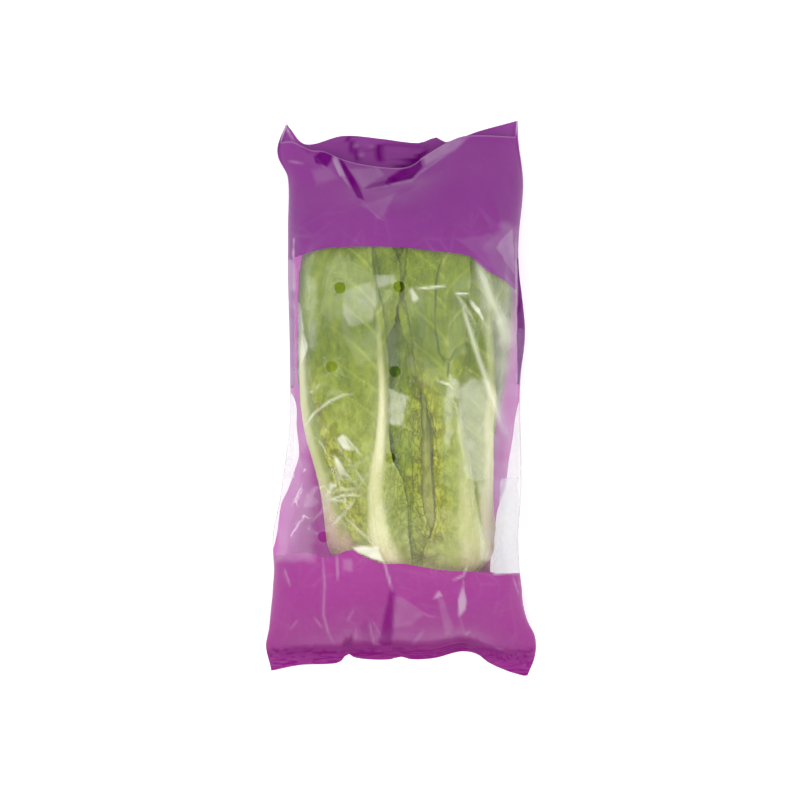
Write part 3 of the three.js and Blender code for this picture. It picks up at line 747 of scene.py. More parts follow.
def leaf_material():
    n = Nodes("lettuce_leaf")
    names = ("pale", "vein", "yellow", "fresh", "light", "root", "stain", "crack_shade")
    pale, vein, yellow, fresh, light, root, stain, crack_shade = (n.attribute(name) for name in names)
    # blade: greens in soft patches, streaked along the leaf
    patches = n.step(n.noise(26, 3, 0.6), 0.35, 0.65)
    green = n.mix(patches, srgb(96, 118, 34), srgb(124, 146, 52))
    green = n.mix(fresh, green, n.mix(patches, srgb(104, 132, 26), srgb(128, 152, 40)))
    streaks = n.step(n.noise(95, 4, 0.65, stretch=(1, 0.22, 1)), 0.35, 0.7)
    green = n.mix(n.times(streaks, 0.55), green, srgb(156, 172, 74))
    lit = n.mix(patches, srgb(158, 172, 78), srgb(178, 188, 94))
    green = n.mix(n.times(light, 0.65), green, lit)
    mottle = n.noise(190, 5, 0.62, stretch=(1, 0.6, 1))
    green = n.mix(n.step(mottle, 0.36, 0.6, 0.4, 0.0), green, srgb(84, 104, 28))
    # the net of small veins, and the puckers between them, whose folds are darkened with painted shade
    net = n.step(n.cells(330, n.noise(160, 2, 0.5, output=1), 0.004), 0.0, 0.16, 1.0, 0.0)
    green = n.mix(n.times(net, 0.12), green, srgb(178, 192, 100))
    green = n.mix(n.times(vein, 0.5), green, srgb(180, 192, 102))
    off_middle = n.math("SUBTRACT", n.noise(250, 4, 0.6, stretch=(1, 0.45, 1)), 0.5)
    folds = n.step(n.math("ABSOLUTE", off_middle), 0.0, 0.055, 1.0, 0.0)
    fold_share = n.math("ADD", n.times(fresh, 0.35), n.math("MULTIPLY_ADD", yellow, 0.45, 0.14))
    shaded_puckers = n.times(folds, fold_share)
    # painted shade: dark green in the folds of the puckers
    green = n.mix(shaded_puckers, green, srgb(66, 88, 12))
    # the frill: yellow green, with browned flecks and painted shade in its puckers
    frilly = n.mix(n.step(mottle, 0.4, 0.6), srgb(144, 150, 26), srgb(190, 192, 74))
    frilly = n.mix(shaded_puckers, frilly, srgb(112, 114, 20))
    green = n.mix(n.times(yellow, 0.9), green, frilly)
    flecks = n.step(n.noise(150, 4, 0.65), 0.55, 0.63)
    browned = n.times(flecks, n.step(yellow, 0.3, 0.6))
    green = n.mix(n.times(browned, 0.5), green, srgb(98, 84, 20))
    # the rib and the base: cream, a little pink at the foot
    grain = n.step(n.noise(75, 3, 0.6, stretch=(1, 0.1, 1)), 0.35, 0.7)
    cream = n.mix(grain, srgb(214, 214, 156), srgb(236, 234, 192))
    cream = n.mix(root, cream, srgb(214, 184, 168))
    brown = n.mix(n.step(mottle, 0.35, 0.65), srgb(118, 126, 48), srgb(160, 164, 82))
    cream = n.mix(n.times(stain, 0.9), cream, brown)
    colour = n.mix(pale, green, cream)
    # painted shade: darker green along the pressed cracks and hollows
    colour = n.mix(n.times(crack_shade, 0.95), colour, srgb(80, 100, 36))
    colour = n.mix(1.0, colour, (0.045, 0.048, 0.04, 1), "SUBTRACT")
    # relief too fine for the mesh
    height = n.math("MULTIPLY_ADD", net, 0.4, n.times(shaded_puckers, -2.2))
    bump = n.bump(0.55, 0.0008, n.math("MULTIPLY_ADD", mottle, 1.3, height))
    shader = n.surface(colour, n.step(mottle, 0.3, 0.7, 0.42, 0.58), 0.25, Normal=bump)
    glow = n.add("ShaderNodeBsdfTranslucent", Color=colour, Normal=bump)
    return n.done(n.blend(0.2, shader, glow))


def core_material():
    n = Nodes("lettuce_heart")
    y = n.place_y()
    green = n.mix(n.step(y, -0.12, 0.05), srgb(232, 226, 178), srgb(196, 204, 110))
    streaks = n.step(n.noise(45, 4, 0.6, stretch=(1, 0.3, 1)), 0.35, 0.7)
    green = n.mix(n.times(streaks, 0.5), green, srgb(168, 184, 84))
    rings = n.noise(160, 4, 0.7)
    cut_face = n.mix(n.step(rings, 0.3, 0.7), srgb(226, 202, 164), srgb(196, 158, 112))
    colour = n.mix(n.step(y, -0.1365, -0.1375), green, cut_face)
    return n.done(n.surface(colour, 0.48, 0.5, Normal=n.bump(0.4, 0.0008, rings)))


def film_material():
    """Clear film with violet print, which light comes through where nothing lies behind it.

    The attribute print is the depth into the print in mm, bare is 1 where the head isn't behind,
    and inside is 1 on the lower film.
    """
    n = Nodes("sleeve_film")
    names = ("print", "haze_and_highlight", "bare", "inside", "dark")
    depth, haze_and_highlight, bare, inside, dark = (n.attribute(name) for name in names)
    y = n.place_y()
    by_weld = n.step(y, -0.11, -0.09)
    lower = n.times(bare, inside)
    # print
    violet = n.mix(by_weld, srgb(160, 66, 142), srgb(126, 56, 131))
    clouds = n.step(n.noise(14, 3, 0.5), 0.4, 0.7)
    violet = n.mix(n.times(clouds, 0.2), violet, srgb(152, 70, 148))
    # painted light: the lower film is coloured lighter where the head doesn't shade it
    violet = n.mix(lower, violet, srgb(160, 70, 148))
    mottle = n.step(n.noise(260, 4, 0.7), 0.3, 0.7)
    violet = n.mix(n.times(mottle, 0.16), violet, srgb(140, 40, 132))
    # painted shade: the print turns deep violet in folds, and darker at the weld and its pressed lines
    violet = n.mix(dark, violet, n.mix(by_weld, srgb(126, 0, 116), srgb(100, 0, 106)))
    # painted highlight: the print turns paler where the film is creased or catches the light
    violet = n.mix(haze_and_highlight, violet, (0.85, 0.78, 0.88, 1))
    grain = n.bump(0.12, 0.0003, n.noise(420, 2, 0.5))
    ink = n.surface(violet, 0.34, n.math("MULTIPLY_ADD", dark, -0.08, 0.08), Normal=grain)
    shine = n.add("ShaderNodeBsdfTranslucent", Color=n.mix(lower, violet, (0.84, 0.1, 0.7, 1)))
    printed = n.blend(n.math("MULTIPLY_ADD", lower, 0.25, 0.2), ink, shine)
    # clear film: a faint veil, milky where it is creased or stands off, with painted highlights there, and
    # gloss
    over_head = n.mix(n.step(haze_and_highlight, 0.0, 0.15), (0.82, 0.86, 0.52, 1), (0.92, 0.93, 0.76, 1))
    haze = n.add("ShaderNodeBsdfDiffuse", Color=n.mix(bare, over_head, (0.54, 0.54, 0.58, 1)))
    through = n.add("ShaderNodeBsdfTransparent", Color=(0.995, 0.995, 0.995, 1))
    veil = n.math("ADD", n.step(n.noise(26, 4, 0.6), 0.35, 0.75, 0.05, 0.09), haze_and_highlight)
    gloss = n.add("ShaderNodeBsdfAnisotropic", Color=(1, 1, 1, 1), Roughness=0.13)
    strength = n.math("MINIMUM", n.times(n.add("ShaderNodeFresnel", IOR=1.5), 0.35), 0.055)
    clear = n.blend(strength, n.blend(veil, through, haze), gloss)
    return n.done(n.blend(n.step(depth, -0.12, 0.12), clear, printed))


def floor_material():
    n = Nodes("studio_floor")
    tone = n.step(n.noise(3, 2, 0.5), 0.3, 0.7)
    colour = n.mix(tone, (0.9, 0.9, 0.9, 1), (0.93, 0.93, 0.93, 1))
    glow = {"Emission_Color": (1, 1, 1, 1), "Emission_Strength": 0.25}
    return n.done(n.surface(colour, 0.9, 0.0, **glow))


# ---- building the head

CORE_COLUMNS = 144
CORE_ROWS = 150
SHOWN_GRID = (97, 181)  # points across and along a leaf
HIDDEN_GRID = (45, 81)


def build_core():
    ys = np.concatenate([[BUTT_Y], np.linspace(BUTT_Y + 0.8, HEART_TIP_Y, CORE_ROWS)])
    ring = np.arange(CORE_COLUMNS)
    phi, y = np.meshgrid(ring * TURN / CORE_COLUMNS, ys)
    points = head_point(phi, y, core_radius(phi, y)).reshape(-1, 3)
    ends = [head_point(np.zeros(1), np.array([v]), np.zeros(1)) for v in (ys[0], ys[-1])]
    middle = np.full(CORE_COLUMNS, len(points))
    following = (ring + 1) % CORE_COLUMNS
    last_ring = len(points) - CORE_COLUMNS
    first = np.stack([middle, following, ring], axis=1)
    last = np.stack([middle + 1, last_ring + ring, last_ring + following], axis=1)
    faces = [grid_faces(len(ys), CORE_COLUMNS, closed=True), first, last]
    core = new_piece("heart", np.concatenate([points, *ends]), faces, core_material(), {})
    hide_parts("stem_and_heart")


def build_leaves():
    """The leaves from the inmost out. Gives the radii of the whole head."""
    material = leaf_material()
    under = core_radius(GRID_PHI, GRID_Y)
    for i in range(LEAF_COUNT - 1, -1, -1):
        leaf = leaf_rule(i)
        bed, floor = bed_of(leaf, under)
        across, along = SHOWN_GRID if i in SHOWN_LEAVES else HIDDEN_GRID
        inner, outer, looks = leaf_grid(leaf, bed, floor, across, along)
        faces = [
            grid_faces(along, across, turned=True),
            grid_faces(along, across, start=across * along),
            rim_faces(along, across),
        ]
        both = {key: np.concatenate([v.ravel(), v.ravel()]) for key, v in looks.items()}
        points = np.concatenate([inner.reshape(-1, 3), outer.reshape(-1, 3)])
        piece = new_piece(f"{leaf.name}_blade", points, faces, material, both)
        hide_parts(leaf.name)
        under = covered(leaf, under, bed, floor)
    return under


# ---- the sleeve's smooth form

# The fold behind the upper lip: each wall starts at a point, falls off towards a direction, has a
# slope.
HOLLOW_WALLS = [
    ((-28, 139), (0.85, 0.53), 0.45),
    ((6, 153), (-0.67, 0.74), 1.1),
    ((-28, 145), (-0.23, 0.97), 0.6),
]
HOLLOW_DEPTH = 13
UPPER_POWER = 2.25  # how square each film's section is
LOWER_POWER = 2.9
EDGE_LIFT = 0.3  # share of the height over which the side walls turn into the films


def hollow_depth(x, y):
    depths = [slope * (to[0] * (x - at[0]) + to[1] * (y - at[1])) for at, to, slope in HOLLOW_WALLS]
    return np.clip(np.min(depths, axis=0), 0, HOLLOW_DEPTH)


def sleeve_surface(psi, y):
    """Points of the smooth sleeve, and which of them are on its upper film."""
    upper = np.cos(psi) >= 0
    power = np.where(upper, 2 / UPPER_POWER, 2 / LOWER_POWER)
    lift = np.abs(np.cos(psi)) ** power
    across = np.sign(np.sin(psi)) * np.abs(np.sin(psi)) ** power

    def across_at(along_y):
        left, right = curve(SLEEVE_LEFT, along_y), curve(SLEEVE_RIGHT, along_y)
        return (left + right) / 2 + (right - left) / 2 * across

    near = across_at(y)
    turned_in = ramp(0, EDGE_LIFT, lift)
    lip = curve(LOWER_LIP, near)
    shift = np.where(upper, lip + (curve(UPPER_LIP, near) - lip) * turned_in, lip)
    at_seal = 1 - ramp(SEAL_Y, SEAL_Y + SEAL_REACH, y)
    along_y = y + curve(SEAL_SHIFT, near) * at_seal
    along_y = along_y + shift * ramp(MOUTH_Y - LIP_REACH, MOUTH_Y, y)
    x = across_at(along_y)
    edge, top, under = curve(SLEEVE_EDGE, y), curve(SLEEVE_TOP, y), curve(SLEEVE_UNDER, y)
    high = edge + (top - edge) * lift - hollow_depth(x, along_y) * turned_in
    low = np.maximum(edge + (under - edge) * lift, 0)
    return np.stack([x, along_y, np.where(upper, high, low)], axis=-1), upper


# ---- crumpled film

MAP_X = 110  # how far a map of the film reaches from the middle, in cells of 1 mm
MAP_Y = 200
COARSE_HEIGHT = 2.4  # of the crumples, in mm
FINE_HEIGHT = 0.9
CREASE_LINE = 0.85  # half width of the white line along a crease
# Stretches of Y over which something begins.
EMPTY_BELOW = (-110, -150)  # the sleeve runs empty below the head
EMPTY_ABOVE = (110, 150)
WELDED_END = (-112, -128)  # the film is pulled into folds by the weld
IN_MOUTH = (135, 150)  # the lower film shows in the mouth


def facets(spacing, seed, blur):
    """Crumpled film: flat triangles over a jittered grid, as a map of heights 0 to 1."""
    rng = np.random.default_rng(seed)
    xs, ys = (np.arange(-reach, reach + 1, spacing) for reach in (MAP_X + 20, MAP_Y + 30))
    xs, ys = np.meshgrid(xs, ys)
    jitter = rng.uniform(-0.42, 0.42, (xs.size, 2)) * spacing
    places = np.stack([xs.ravel(), ys.ravel()], axis=1) + jitter
    heights = rng.uniform(0, 1, len(places))
    spots = [Vector(p) for p in places.tolist()]
    spots, _, triangles, origins, _, _ = delaunay_2d_cdt(spots, [], [], 0, 1e-6)
    at = np.array([tuple(v) for v in spots])
    level = heights[[origin[0] for origin in origins]]
    surface = np.zeros((2 * MAP_Y + 1, 2 * MAP_X + 1))
    for triangle in triangles:
        corners = at[triangle]
        low, high = np.floor(corners.min(0)).astype(int), np.ceil(corners.max(0)).astype(int)
        gx, gy = np.meshgrid(np.arange(low[0], high[0] + 1), np.arange(low[1], high[1] + 1))
        (ax, ay), (bx, by) = corners[0] - corners[2], corners[1] - corners[2]
        px, py = gx - corners[2, 0], gy - corners[2, 1]
        area = ax * by - ay * bx
        u, v = (px * by - py * bx) / area, (ax * py - ay * px) / area
        inside = (u >= -1e-6) & (v >= -1e-6) & (u + v <= 1 + 1e-6)
        inside &= (np.abs(gx) <= MAP_X) & (np.abs(gy) <= MAP_Y)
        a, b, c = level[triangle]
        height = (u * a + v * b + (1 - u - v) * c)[inside]
        surface[gy[inside] + MAP_Y, gx[inside] + MAP_X] = height
    return gaussian(gaussian(surface, blur, 0), blur, 1)


def look_up(surface, x, y):
    """A map's values at places on the film."""
    u, v = np.clip(x + MAP_X, 0, 2 * MAP_X - 0.001), np.clip(y + MAP_Y, 0, 2 * MAP_Y - 0.001)
    i, j, u, v = cells_of(u, v)
    return between(surface, (i, i + 1), (j, j + 1), u, v)


COARSE = facets(24, 21, 0.8)
FINE = facets(11, 22, 0.6)
TINY = facets(5.5, 23, 0.5)
# Where the facets meet in a sharp fold, 0 to 1.
BENDS = [np.abs(np.roll(FINE, 1, k) + np.roll(FINE, -1, k) - 2 * FINE) for k in (0, 1)]
RIDGES = np.clip(sum(BENDS) * 8, 0, 1)

# Long soft streaks of painted highlight where the upper film stands off the head: points, half width, how
# milky.
STREAK_A = [(38, 75), (40.8, 65.8), (50.4, 34.3), (62.7, -0.7), (71, -24), (78, -43)]
STREAK_B = [(50, 98), (57.4, 79), (62, 68), (66.3, 58.8), (71, 44), (75, 30)]
STREAKS = [(STREAK_A, 2.6, 0.32), (STREAK_B, 5, 0.27)]

# Creases of the upper film: points along each one, its height, the half widths of its right and
# left sides as one walks along it, and how much painted highlight whitens the film along it.
CREASES = [
    # over the head, on the left
    ([(-72, -24), (-62, -10), (-51, -1.5), (-41, 3), (-35, 3.5)], 1.4, 1.3, 5, 0.5),
    ([(-66, 3.5), (-57, 10.5)], 0.8, 1, 3, 0.3),
    ([(-42, -24), (-29, -39)], 1.2, 1.2, 4, 0.4),
    ([(-34, -48), (-26, -59)], 1.0, 1, 3, 0.3),
    ([(-56, -69), (-50, -70), (-41, -66.5), (-29, -66.5)], 1.3, 1.2, 4, 0.5),
    ([(-50, -70), (-36, -71.5)], 0.8, 1, 3, 0.4),
    ([(-41, -66.5), (-38.5, -79)], 0.8, 1, 3, 0.4),
    ([(-54, -92), (-42, -80.5), (-34, -71.5)], 1.4, 1.2, 5, 0.4),
    ([(-42, -80.5), (-34, -88), (-20, -101.5)], 1.2, 1.2, 5, 0.3),
    ([(-66, -87.5), (-52, -74)], 1.2, 1.2, 4, 0.3),
    ([(-66.5, -90), (-59, -94)], 0.8, 1, 3, 0.3),
    ([(-47, -27), (-42, -38), (-34, -46)], 1.3, 1.2, 5, 0.2),
    ([(-48, -40), (-45, -53), (-50, -66)], 1.3, 1.2, 5, 0.2),
    ([(-73.5, -34.3), (-69.3, -51.8)], 1.2, 1.2, 3, 0.5),
    ([(-68.6, -56), (-78.4, -76.3)], 1.2, 1.2, 3, 0.6),
    # in the middle and on the right
    ([(10, 76.5), (22, 77.5), (29.5, 78.5)], 0.8, 0.8, 3, 0.5),
    ([(36.5, 73), (45.5, 73)], 0.8, 0.8, 3, 0.6),
    ([(36.5, 73), (44, 63), (50.5, 52)], 1.4, 1.2, 4, 0.3),
    (STREAK_A, 2.0, 2.4, 8, 0.0),
    (STREAK_B, 2.0, 3, 8, 0.0),
    ([(24, 12.5), (32, 10), (37, 5)], 1.2, 1, 4, 0.6),
    ([(30, 3), (36, -3), (39, -14)], 1.2, 1, 4, 0.3),
    ([(-10, -12), (-2, -17), (6, -22)], -1.0, 1.2, 3, 0.1),
    ([(40, -20), (52, -33), (56, -46)], -0.8, 1.5, 3, 0.0),
    ([(62, -48), (78, -47)], -0.8, 1, 3, 0.2),
    # the printed end by the mouth
    ([(33.5, 174), (28.5, 169.5), (19, 163), (11, 157.5), (5.5, 152.5), (-9, 149)], 3.0, 1.5, 8, 0.12),
    ([(-47, 174), (-38.5, 155), (-29.5, 138)], -2.4, 4, 5, 0.0),
    ([(-50.5, 176), (-47, 166), (-43.5, 156)], 1.4, 2.5, 3, 0.06),
    ([(-57, 175), (-52.5, 162)], -1.6, 3, 3, 0.0),
    ([(-37, 161), (-19.5, 147)], 1.2, 5, 3, 0.04),
    ([(40, 150), (58, 128), (74, 92)], 1.4, 2, 10, 0.0),
    ([(60, 150), (66, 118), (78, 84)], 2.0, 2.5, 9, 0.0),
    ([(78.8, 118), (79, 50), (79.3, 0), (79, -30)], 0.8, 0.9, 2, 0.4),
    ([(-80, 166.5), (-70, 165)], 0.8, 1, 2, 0.16),
    ([(-61, 169), (-54, 161)], 1.0, 1.5, 2, 0.12),
    ([(-50, 176), (-45, 160), (-37, 148)], 1.4, 1.2, 2.5, 0.2),
    ([(-27, 146), (-8, 149.5), (6, 153.5)], 1.2, 1.2, 3, 0.14),
    ([(-28, 137), (-17, 126), (-12.5, 124)], 0.8, 1.2, 3, 0.12),
    # the printed end by the weld
    ([(-82.5, -119), (-79, -130)], 1.2, 1.2, 4, 0.25),
    ([(-56, -108), (-54.5, -129.5), (-55.5, -150), (-52.5, -162.5), (-49, -171)], 2.0, 1.5, 6, 0.2),
    ([(-46, -108), (-45.5, -126)], 1.2, 1.2, 4, 0.25),
    ([(-13.5, -112), (-7.5, -134)], 1.5, 1.2, 4, 0.4),
    ([(-79, -161), (-73.5, -154.5)], 0.8, 1.2, 3, 0.15),
    ([(-62, -152.5), (-56.5, -160)], 0.8, 1.2, 3, 0.15),
    ([(-34, -146), (-39, -155.5)], 0.8, 1.2, 4, 0.15),
    ([(-33, -157.5), (-33, -169)], 0.8, 1.2, 3, 0.1),
    ([(-24, -152.5), (-20.5, -171.5), (-16, -172)], 1.4, 1.2, 3, 0.2),
    ([(-22.5, -152.5), (-13.5, -169.5)], 1.0, 1.2, 3, 0.1),
    ([(-10, -138), (-10.5, -176)], -3.0, 3, 3, 0.0),
    ([(-8.5, -136), (-2, -138.5), (17, -151), (28, -153)], 2.4, 6, 2, 0.1),
    ([(35, -126), (42, -123), (45, -116)], 1.4, 1.2, 3, 0.35),
    ([(25, -133), (30, -154.5), (35, -172)], 2.4, 2.5, 5, 0.08),
    ([(42, -127), (39, -140), (40, -153), (44, -168)], 2.4, 5, 2, 0.08),
    ([(15, -161), (7, -172)], 1.4, 1.2, 3, 0.2),
    ([(77, -125), (81, -136.5)], 1.0, 1.2, 3, 0.2),
    ([(43.5, -166), (47, -162)], 0.8, 1, 3, 0.2),
    ([(64.5, -175), (70.5, -176)], 0.6, 1, 3, 0.2),
]

# Places where the upper film is milky or catches the light, as painted highlight, or (negative) is darkened
# with painted shade where it lies in a fold: a convex outline, how much, and how soft its edge is.
PATCHES = [
    ([(-46, -27.5), (-42, -24), (-34.5, -35), (-41.5, -34.5)], 0.4, 0.8),
    ([(-47.5, -39), (-41.5, -46), (-36.5, -54.5), (-45.5, -52.5)], 0.35, 0.8),
    ([(-51, -57.5), (-46, -59.5), (-51, -64.5)], 0.35, 0.8),
    ([(-35, -103), (-17.5, -102), (-13.5, -113.5), (-31.5, -107)], 0.55, 0.8),
    ([(3.5, 75.5), (6.5, 77.5), (10.5, 69.5), (7.5, 67)], 0.25, 0.8),
    ([(45, 69.5), (49.5, 68), (56.5, 56.5), (55.5, 54), (47, 64)], 0.45, 0.8),
    ([(28, 0.5), (33.5, 0.5), (34, -20), (31.5, -33), (29, -30)], 0.13, 2),
    ([(40, 8), (50, 15), (60, 12), (63, -30), (60, -58), (44, -56), (38, -20)], 0.19, 1.8),
    ([(40, 4), (52, 11), (58, -4), (54, -26), (43, -22)], 0.2, 1),
    ([(52.5, -56), (62, -56), (62, -112), (54, -112)], 0.18, 2),
    ([(-73.2, 67), (-71.2, 67), (-69.5, 52), (-69, 38), (-73.5, 38)], 0.32, 0.8),
    ([(-72.5, 45), (-69.5, 47), (-66, 37), (-69.3, 26), (-73.7, 13), (-73, 30)], 0.34, 0.7),
    ([(-81.5, 97), (-75, 97), (-74, 8), (-81.5, 8)], 0.22, 1),
    ([(-77, 112), (-75.4, 112), (-75.4, 62), (-77, 62)], 0.3, 0.6),
    ([(31.5, 17), (38.5, 13.5), (40, -0.5), (30, 0.5)], 0.17, 1.2),
    ([(-10, 7.5), (3, 2), (-0.5, -17.5), (-9, -17.5)], 0.2, 1.2),
    ([(-40.6, 72.8), (-35.7, 77.7), (-21.7, 81.2), (-17.5, 69.3),
      (-21.7, 53.9), (-35.7, 49.7), (-42, 58.8)], 0.12, 1.2),
    ([(-19, 86), (-5.5, 86), (-5, 80), (-18, 76.5)], 0.14, 1.2),
    ([(-67, 85), (-60, 85), (-61, 34), (-66, 34)], 0.12, 3),
    ([(50, 96), (78.5, 76), (78.5, -1), (65, -1), (52.5, 69)], 0.1, 4),
    ([(70, 90), (79, 80), (79, 0), (70, 0)], 0.16, 2.5),
    ([(68, -55), (80.5, -55), (82, -122), (63, -122)], 0.45, 1),
    ([(74, 60), (79, 62), (81, -60), (77, -60)], 0.22, 2.5),
    ([(79.6, 98), (81.5, 98), (87, 47.6), (79.6, 49)], -1, 0.4),
    ([(79.6, 49), (87, 47.6), (81, 10), (79.6, 10)], -0.75, 0.4),
    ([(-80.5, 8), (-75.8, 8), (-75.8, -55), (-83.5, -55)], 0.35, 0.6),
    ([(64.4, 105), (68, 111), (76, 118), (78.7, 84)], 0.2, 0.8),
    ([(66, 82), (60, 92), (52, 104), (70, 122), (79, 120), (79, 78)], 0.08, 4),
    ([(66, 60), (82, 60), (84, -118), (62, -118), (60, -60)], 0.2, 5),
    ([(-76, 90), (-70, 90), (-66, -20), (-60, -112), (-92, -112), (-84, -40)], 0.16, 4),
    # the printed end by the mouth
    ([(-45.5, 170), (-42, 167), (-35.5, 157), (-29.5, 146),
      (-27, 138.5), (-32, 140.5), (-37, 150), (-42, 160)], -1, 0.7),
    ([(11.8, 168.1), (13.9, 162.6), (6.3, 153.9), (-13.4, 149.1), (-11.2, 154.5), (-2.5, 160.4)], -1, 0.6),
    ([(-9.5, 154), (-8, 149.5), (-20.5, 147), (-27.5, 146), (-23, 150)], -0.7, 0.8),
    ([(-62.5, 169.8), (-54, 177), (-49.5, 175.5), (-48.7, 169.3), (-52.9, 162.5), (-61.4, 165.3)], -1, 0.9),
    ([(-71, 176), (-56, 178), (-53, 174.5), (-66, 172)], -0.4, 1),
    ([(-50, 176), (-47.5, 172), (-40, 155), (-44.5, 156), (-49.5, 168)], 0.2, 0.6),
    ([(-64, 160), (-52, 162), (-45, 154), (-60, 150)], 0.05, 2),
    ([(-38, 161), (-18, 162.5), (-13, 157), (-28, 147.5)], 0.07, 0.8),
    ([(-84, 187), (-83, 180), (-73, 180), (-78, 186)], 0.12, 1),
    ([(14, 171), (30, 181), (46, 184), (36, 174), (16, 164)], 0.13, 1.5),
    ([(-29.5, 135), (-6, 143), (-14, 126), (-18, 127)], 0.05, 1.5),
    ([(37, 111), (68, 116), (78, 95), (75, 80), (58, 92)], 0.05, 1.5),
    # the printed end by the weld
    ([(-8.5, -129.4), (-5.3, -136), (-7.4, -173), (-14, -174), (-17.3, -171), (-12.9, -149)], -0.8, 1.4),
    ([(-30, -160), (-22, -150), (-19, -176), (-28, -176)], -0.3, 2),
    ([(42, -129), (38.5, -140.5), (39, -152.5), (43.5, -147), (44, -140.5)], 0.3, 0.8),
    ([(21, -139.5), (25, -133), (27.5, -137)], 0.25, 0.8),
    ([(-42, -111), (-35.5, -111), (-35.5, -119.5), (-42, -119.5)], 0.12, 1.5),
    ([(-8, -136), (2, -140), (14, -150), (6, -158), (-7, -160)], 0.1, 2),
    ([(24, -139), (28, -139), (35, -160), (30, -166)], 0.08, 1.5),
]

# The same for the lower film where it shows in the mouth, its painted shade and highlight included.
INSIDE_CREASES = [
    ([(-38, 184), (-35, 177), (-31, 169)], -2.4, 3, 4, 0.0),
    ([(-19.5, 179), (-16, 172), (-13, 165)], -2.4, 3, 4, 0.0),
    ([(-36, 183), (-31, 173), (-26, 168)], 1.2, 2, 3, 0.12),
    ([(-24, 181), (-21, 176), (-19, 168)], 1.2, 2, 3, 0.1),
    ([(-30, 175), (-22, 177), (-16, 173)], 1.2, 1.5, 4, 0.03),
    ([(-15, 179.5), (15, 177.5)], -1.0, 1, 2, 0.0),
    ([(-12, 176.5), (15, 174)], -1.0, 1, 2, 0.0),
    ([(-82, 191), (-79.5, 186), (-76.5, 181.5)], 1.0, 1, 2, 0.3),
    ([(-87, 179), (-81, 180), (-74.5, 179.5)], 0.8, 1, 2, 0.3),
]
INSIDE_PATCHES = [
    ([(-9.5, 160), (-1, 165), (12, 175), (17, 176), (13, 163), (5.5, 161)], -1, 0.7),
    ([(-40, 184), (-37, 185), (-31, 172), (-31.5, 167), (-36, 172)], -0.9, 0.8),
    ([(-21, 180), (-17, 179), (-12, 168), (-12.5, 164), (-17, 168)], -1, 0.8),
    ([(-3, 168), (2, 175), (5, 175), (1, 166)], -0.6, 0.8),
    ([(-14, 180), (16, 178), (17, 176), (-12, 178)], -0.5, 0.8),
]


def depth_inside(x, y, corners):
    """How deep a place is inside a convex outline, negative outside."""
    p = np.array(corners, float)
    edge = np.roll(p, -1, axis=0) - p
    turn = np.sign(np.sum(p[:, 0] * np.roll(p[:, 1], -1) - np.roll(p[:, 0], -1) * p[:, 1]))
    size = np.hypot(edge[:, 0], edge[:, 1])
    rows = zip(p, edge, size)
    sides = [turn * (e[0] * (y - q[1]) - e[1] * (x - q[0])) / d for q, e, d in rows]
    return np.min(sides, axis=0)


def how_loose(x, y):
    """Where the upper film lies crumpled over the head, and where the sleeve is empty, 0 to 1."""
    loose = np.exp(-(((x + 42) / 24) ** 2) - ((y + 62) / 36) ** 2)
    return loose, ramp(*EMPTY_BELOW, y) + ramp(*EMPTY_ABOVE, y)


def film_wrinkles(x, y, creases):
    """Height of a film's wrinkles over its smooth surface."""
    loose, ends = how_loose(x, y)
    coarse = 0.25 + 0.8 * loose + 0.35 * ends + 0.6 * ramp(*WELDED_END, y)
    height = coarse * COARSE_HEIGHT * look_up(COARSE, x, y)
    height += (0.25 + 0.9 * loose + 0.3 * ends) * FINE_HEIGHT * look_up(FINE, x, y)
    for points, rise, right_width, left_width, _ in creases:
        away, right, place = to_path(x, y, points)
        width = np.where(right > 0, right_width, left_width)
        height += rise * tapered(place, 0.25, 0.75) * np.exp(-((away / width) ** 1.3))
    # gathers that rise from the weld
    fan = (x + 0.12 * x * (y + 185) / 60) * 0.19
    gather = np.abs(np.sin(fan + 1.2 * noise(x / 30, y / 80, 5)))
    height += 2 * (1 - gather) ** 2 * ramp(-135, -172, y) * ramp(-184, -176, y)
    return height + 0.16 * noise(x / 6, y / 11, 9) + 0.07 * noise(x / 2.6, y / 4, 10)


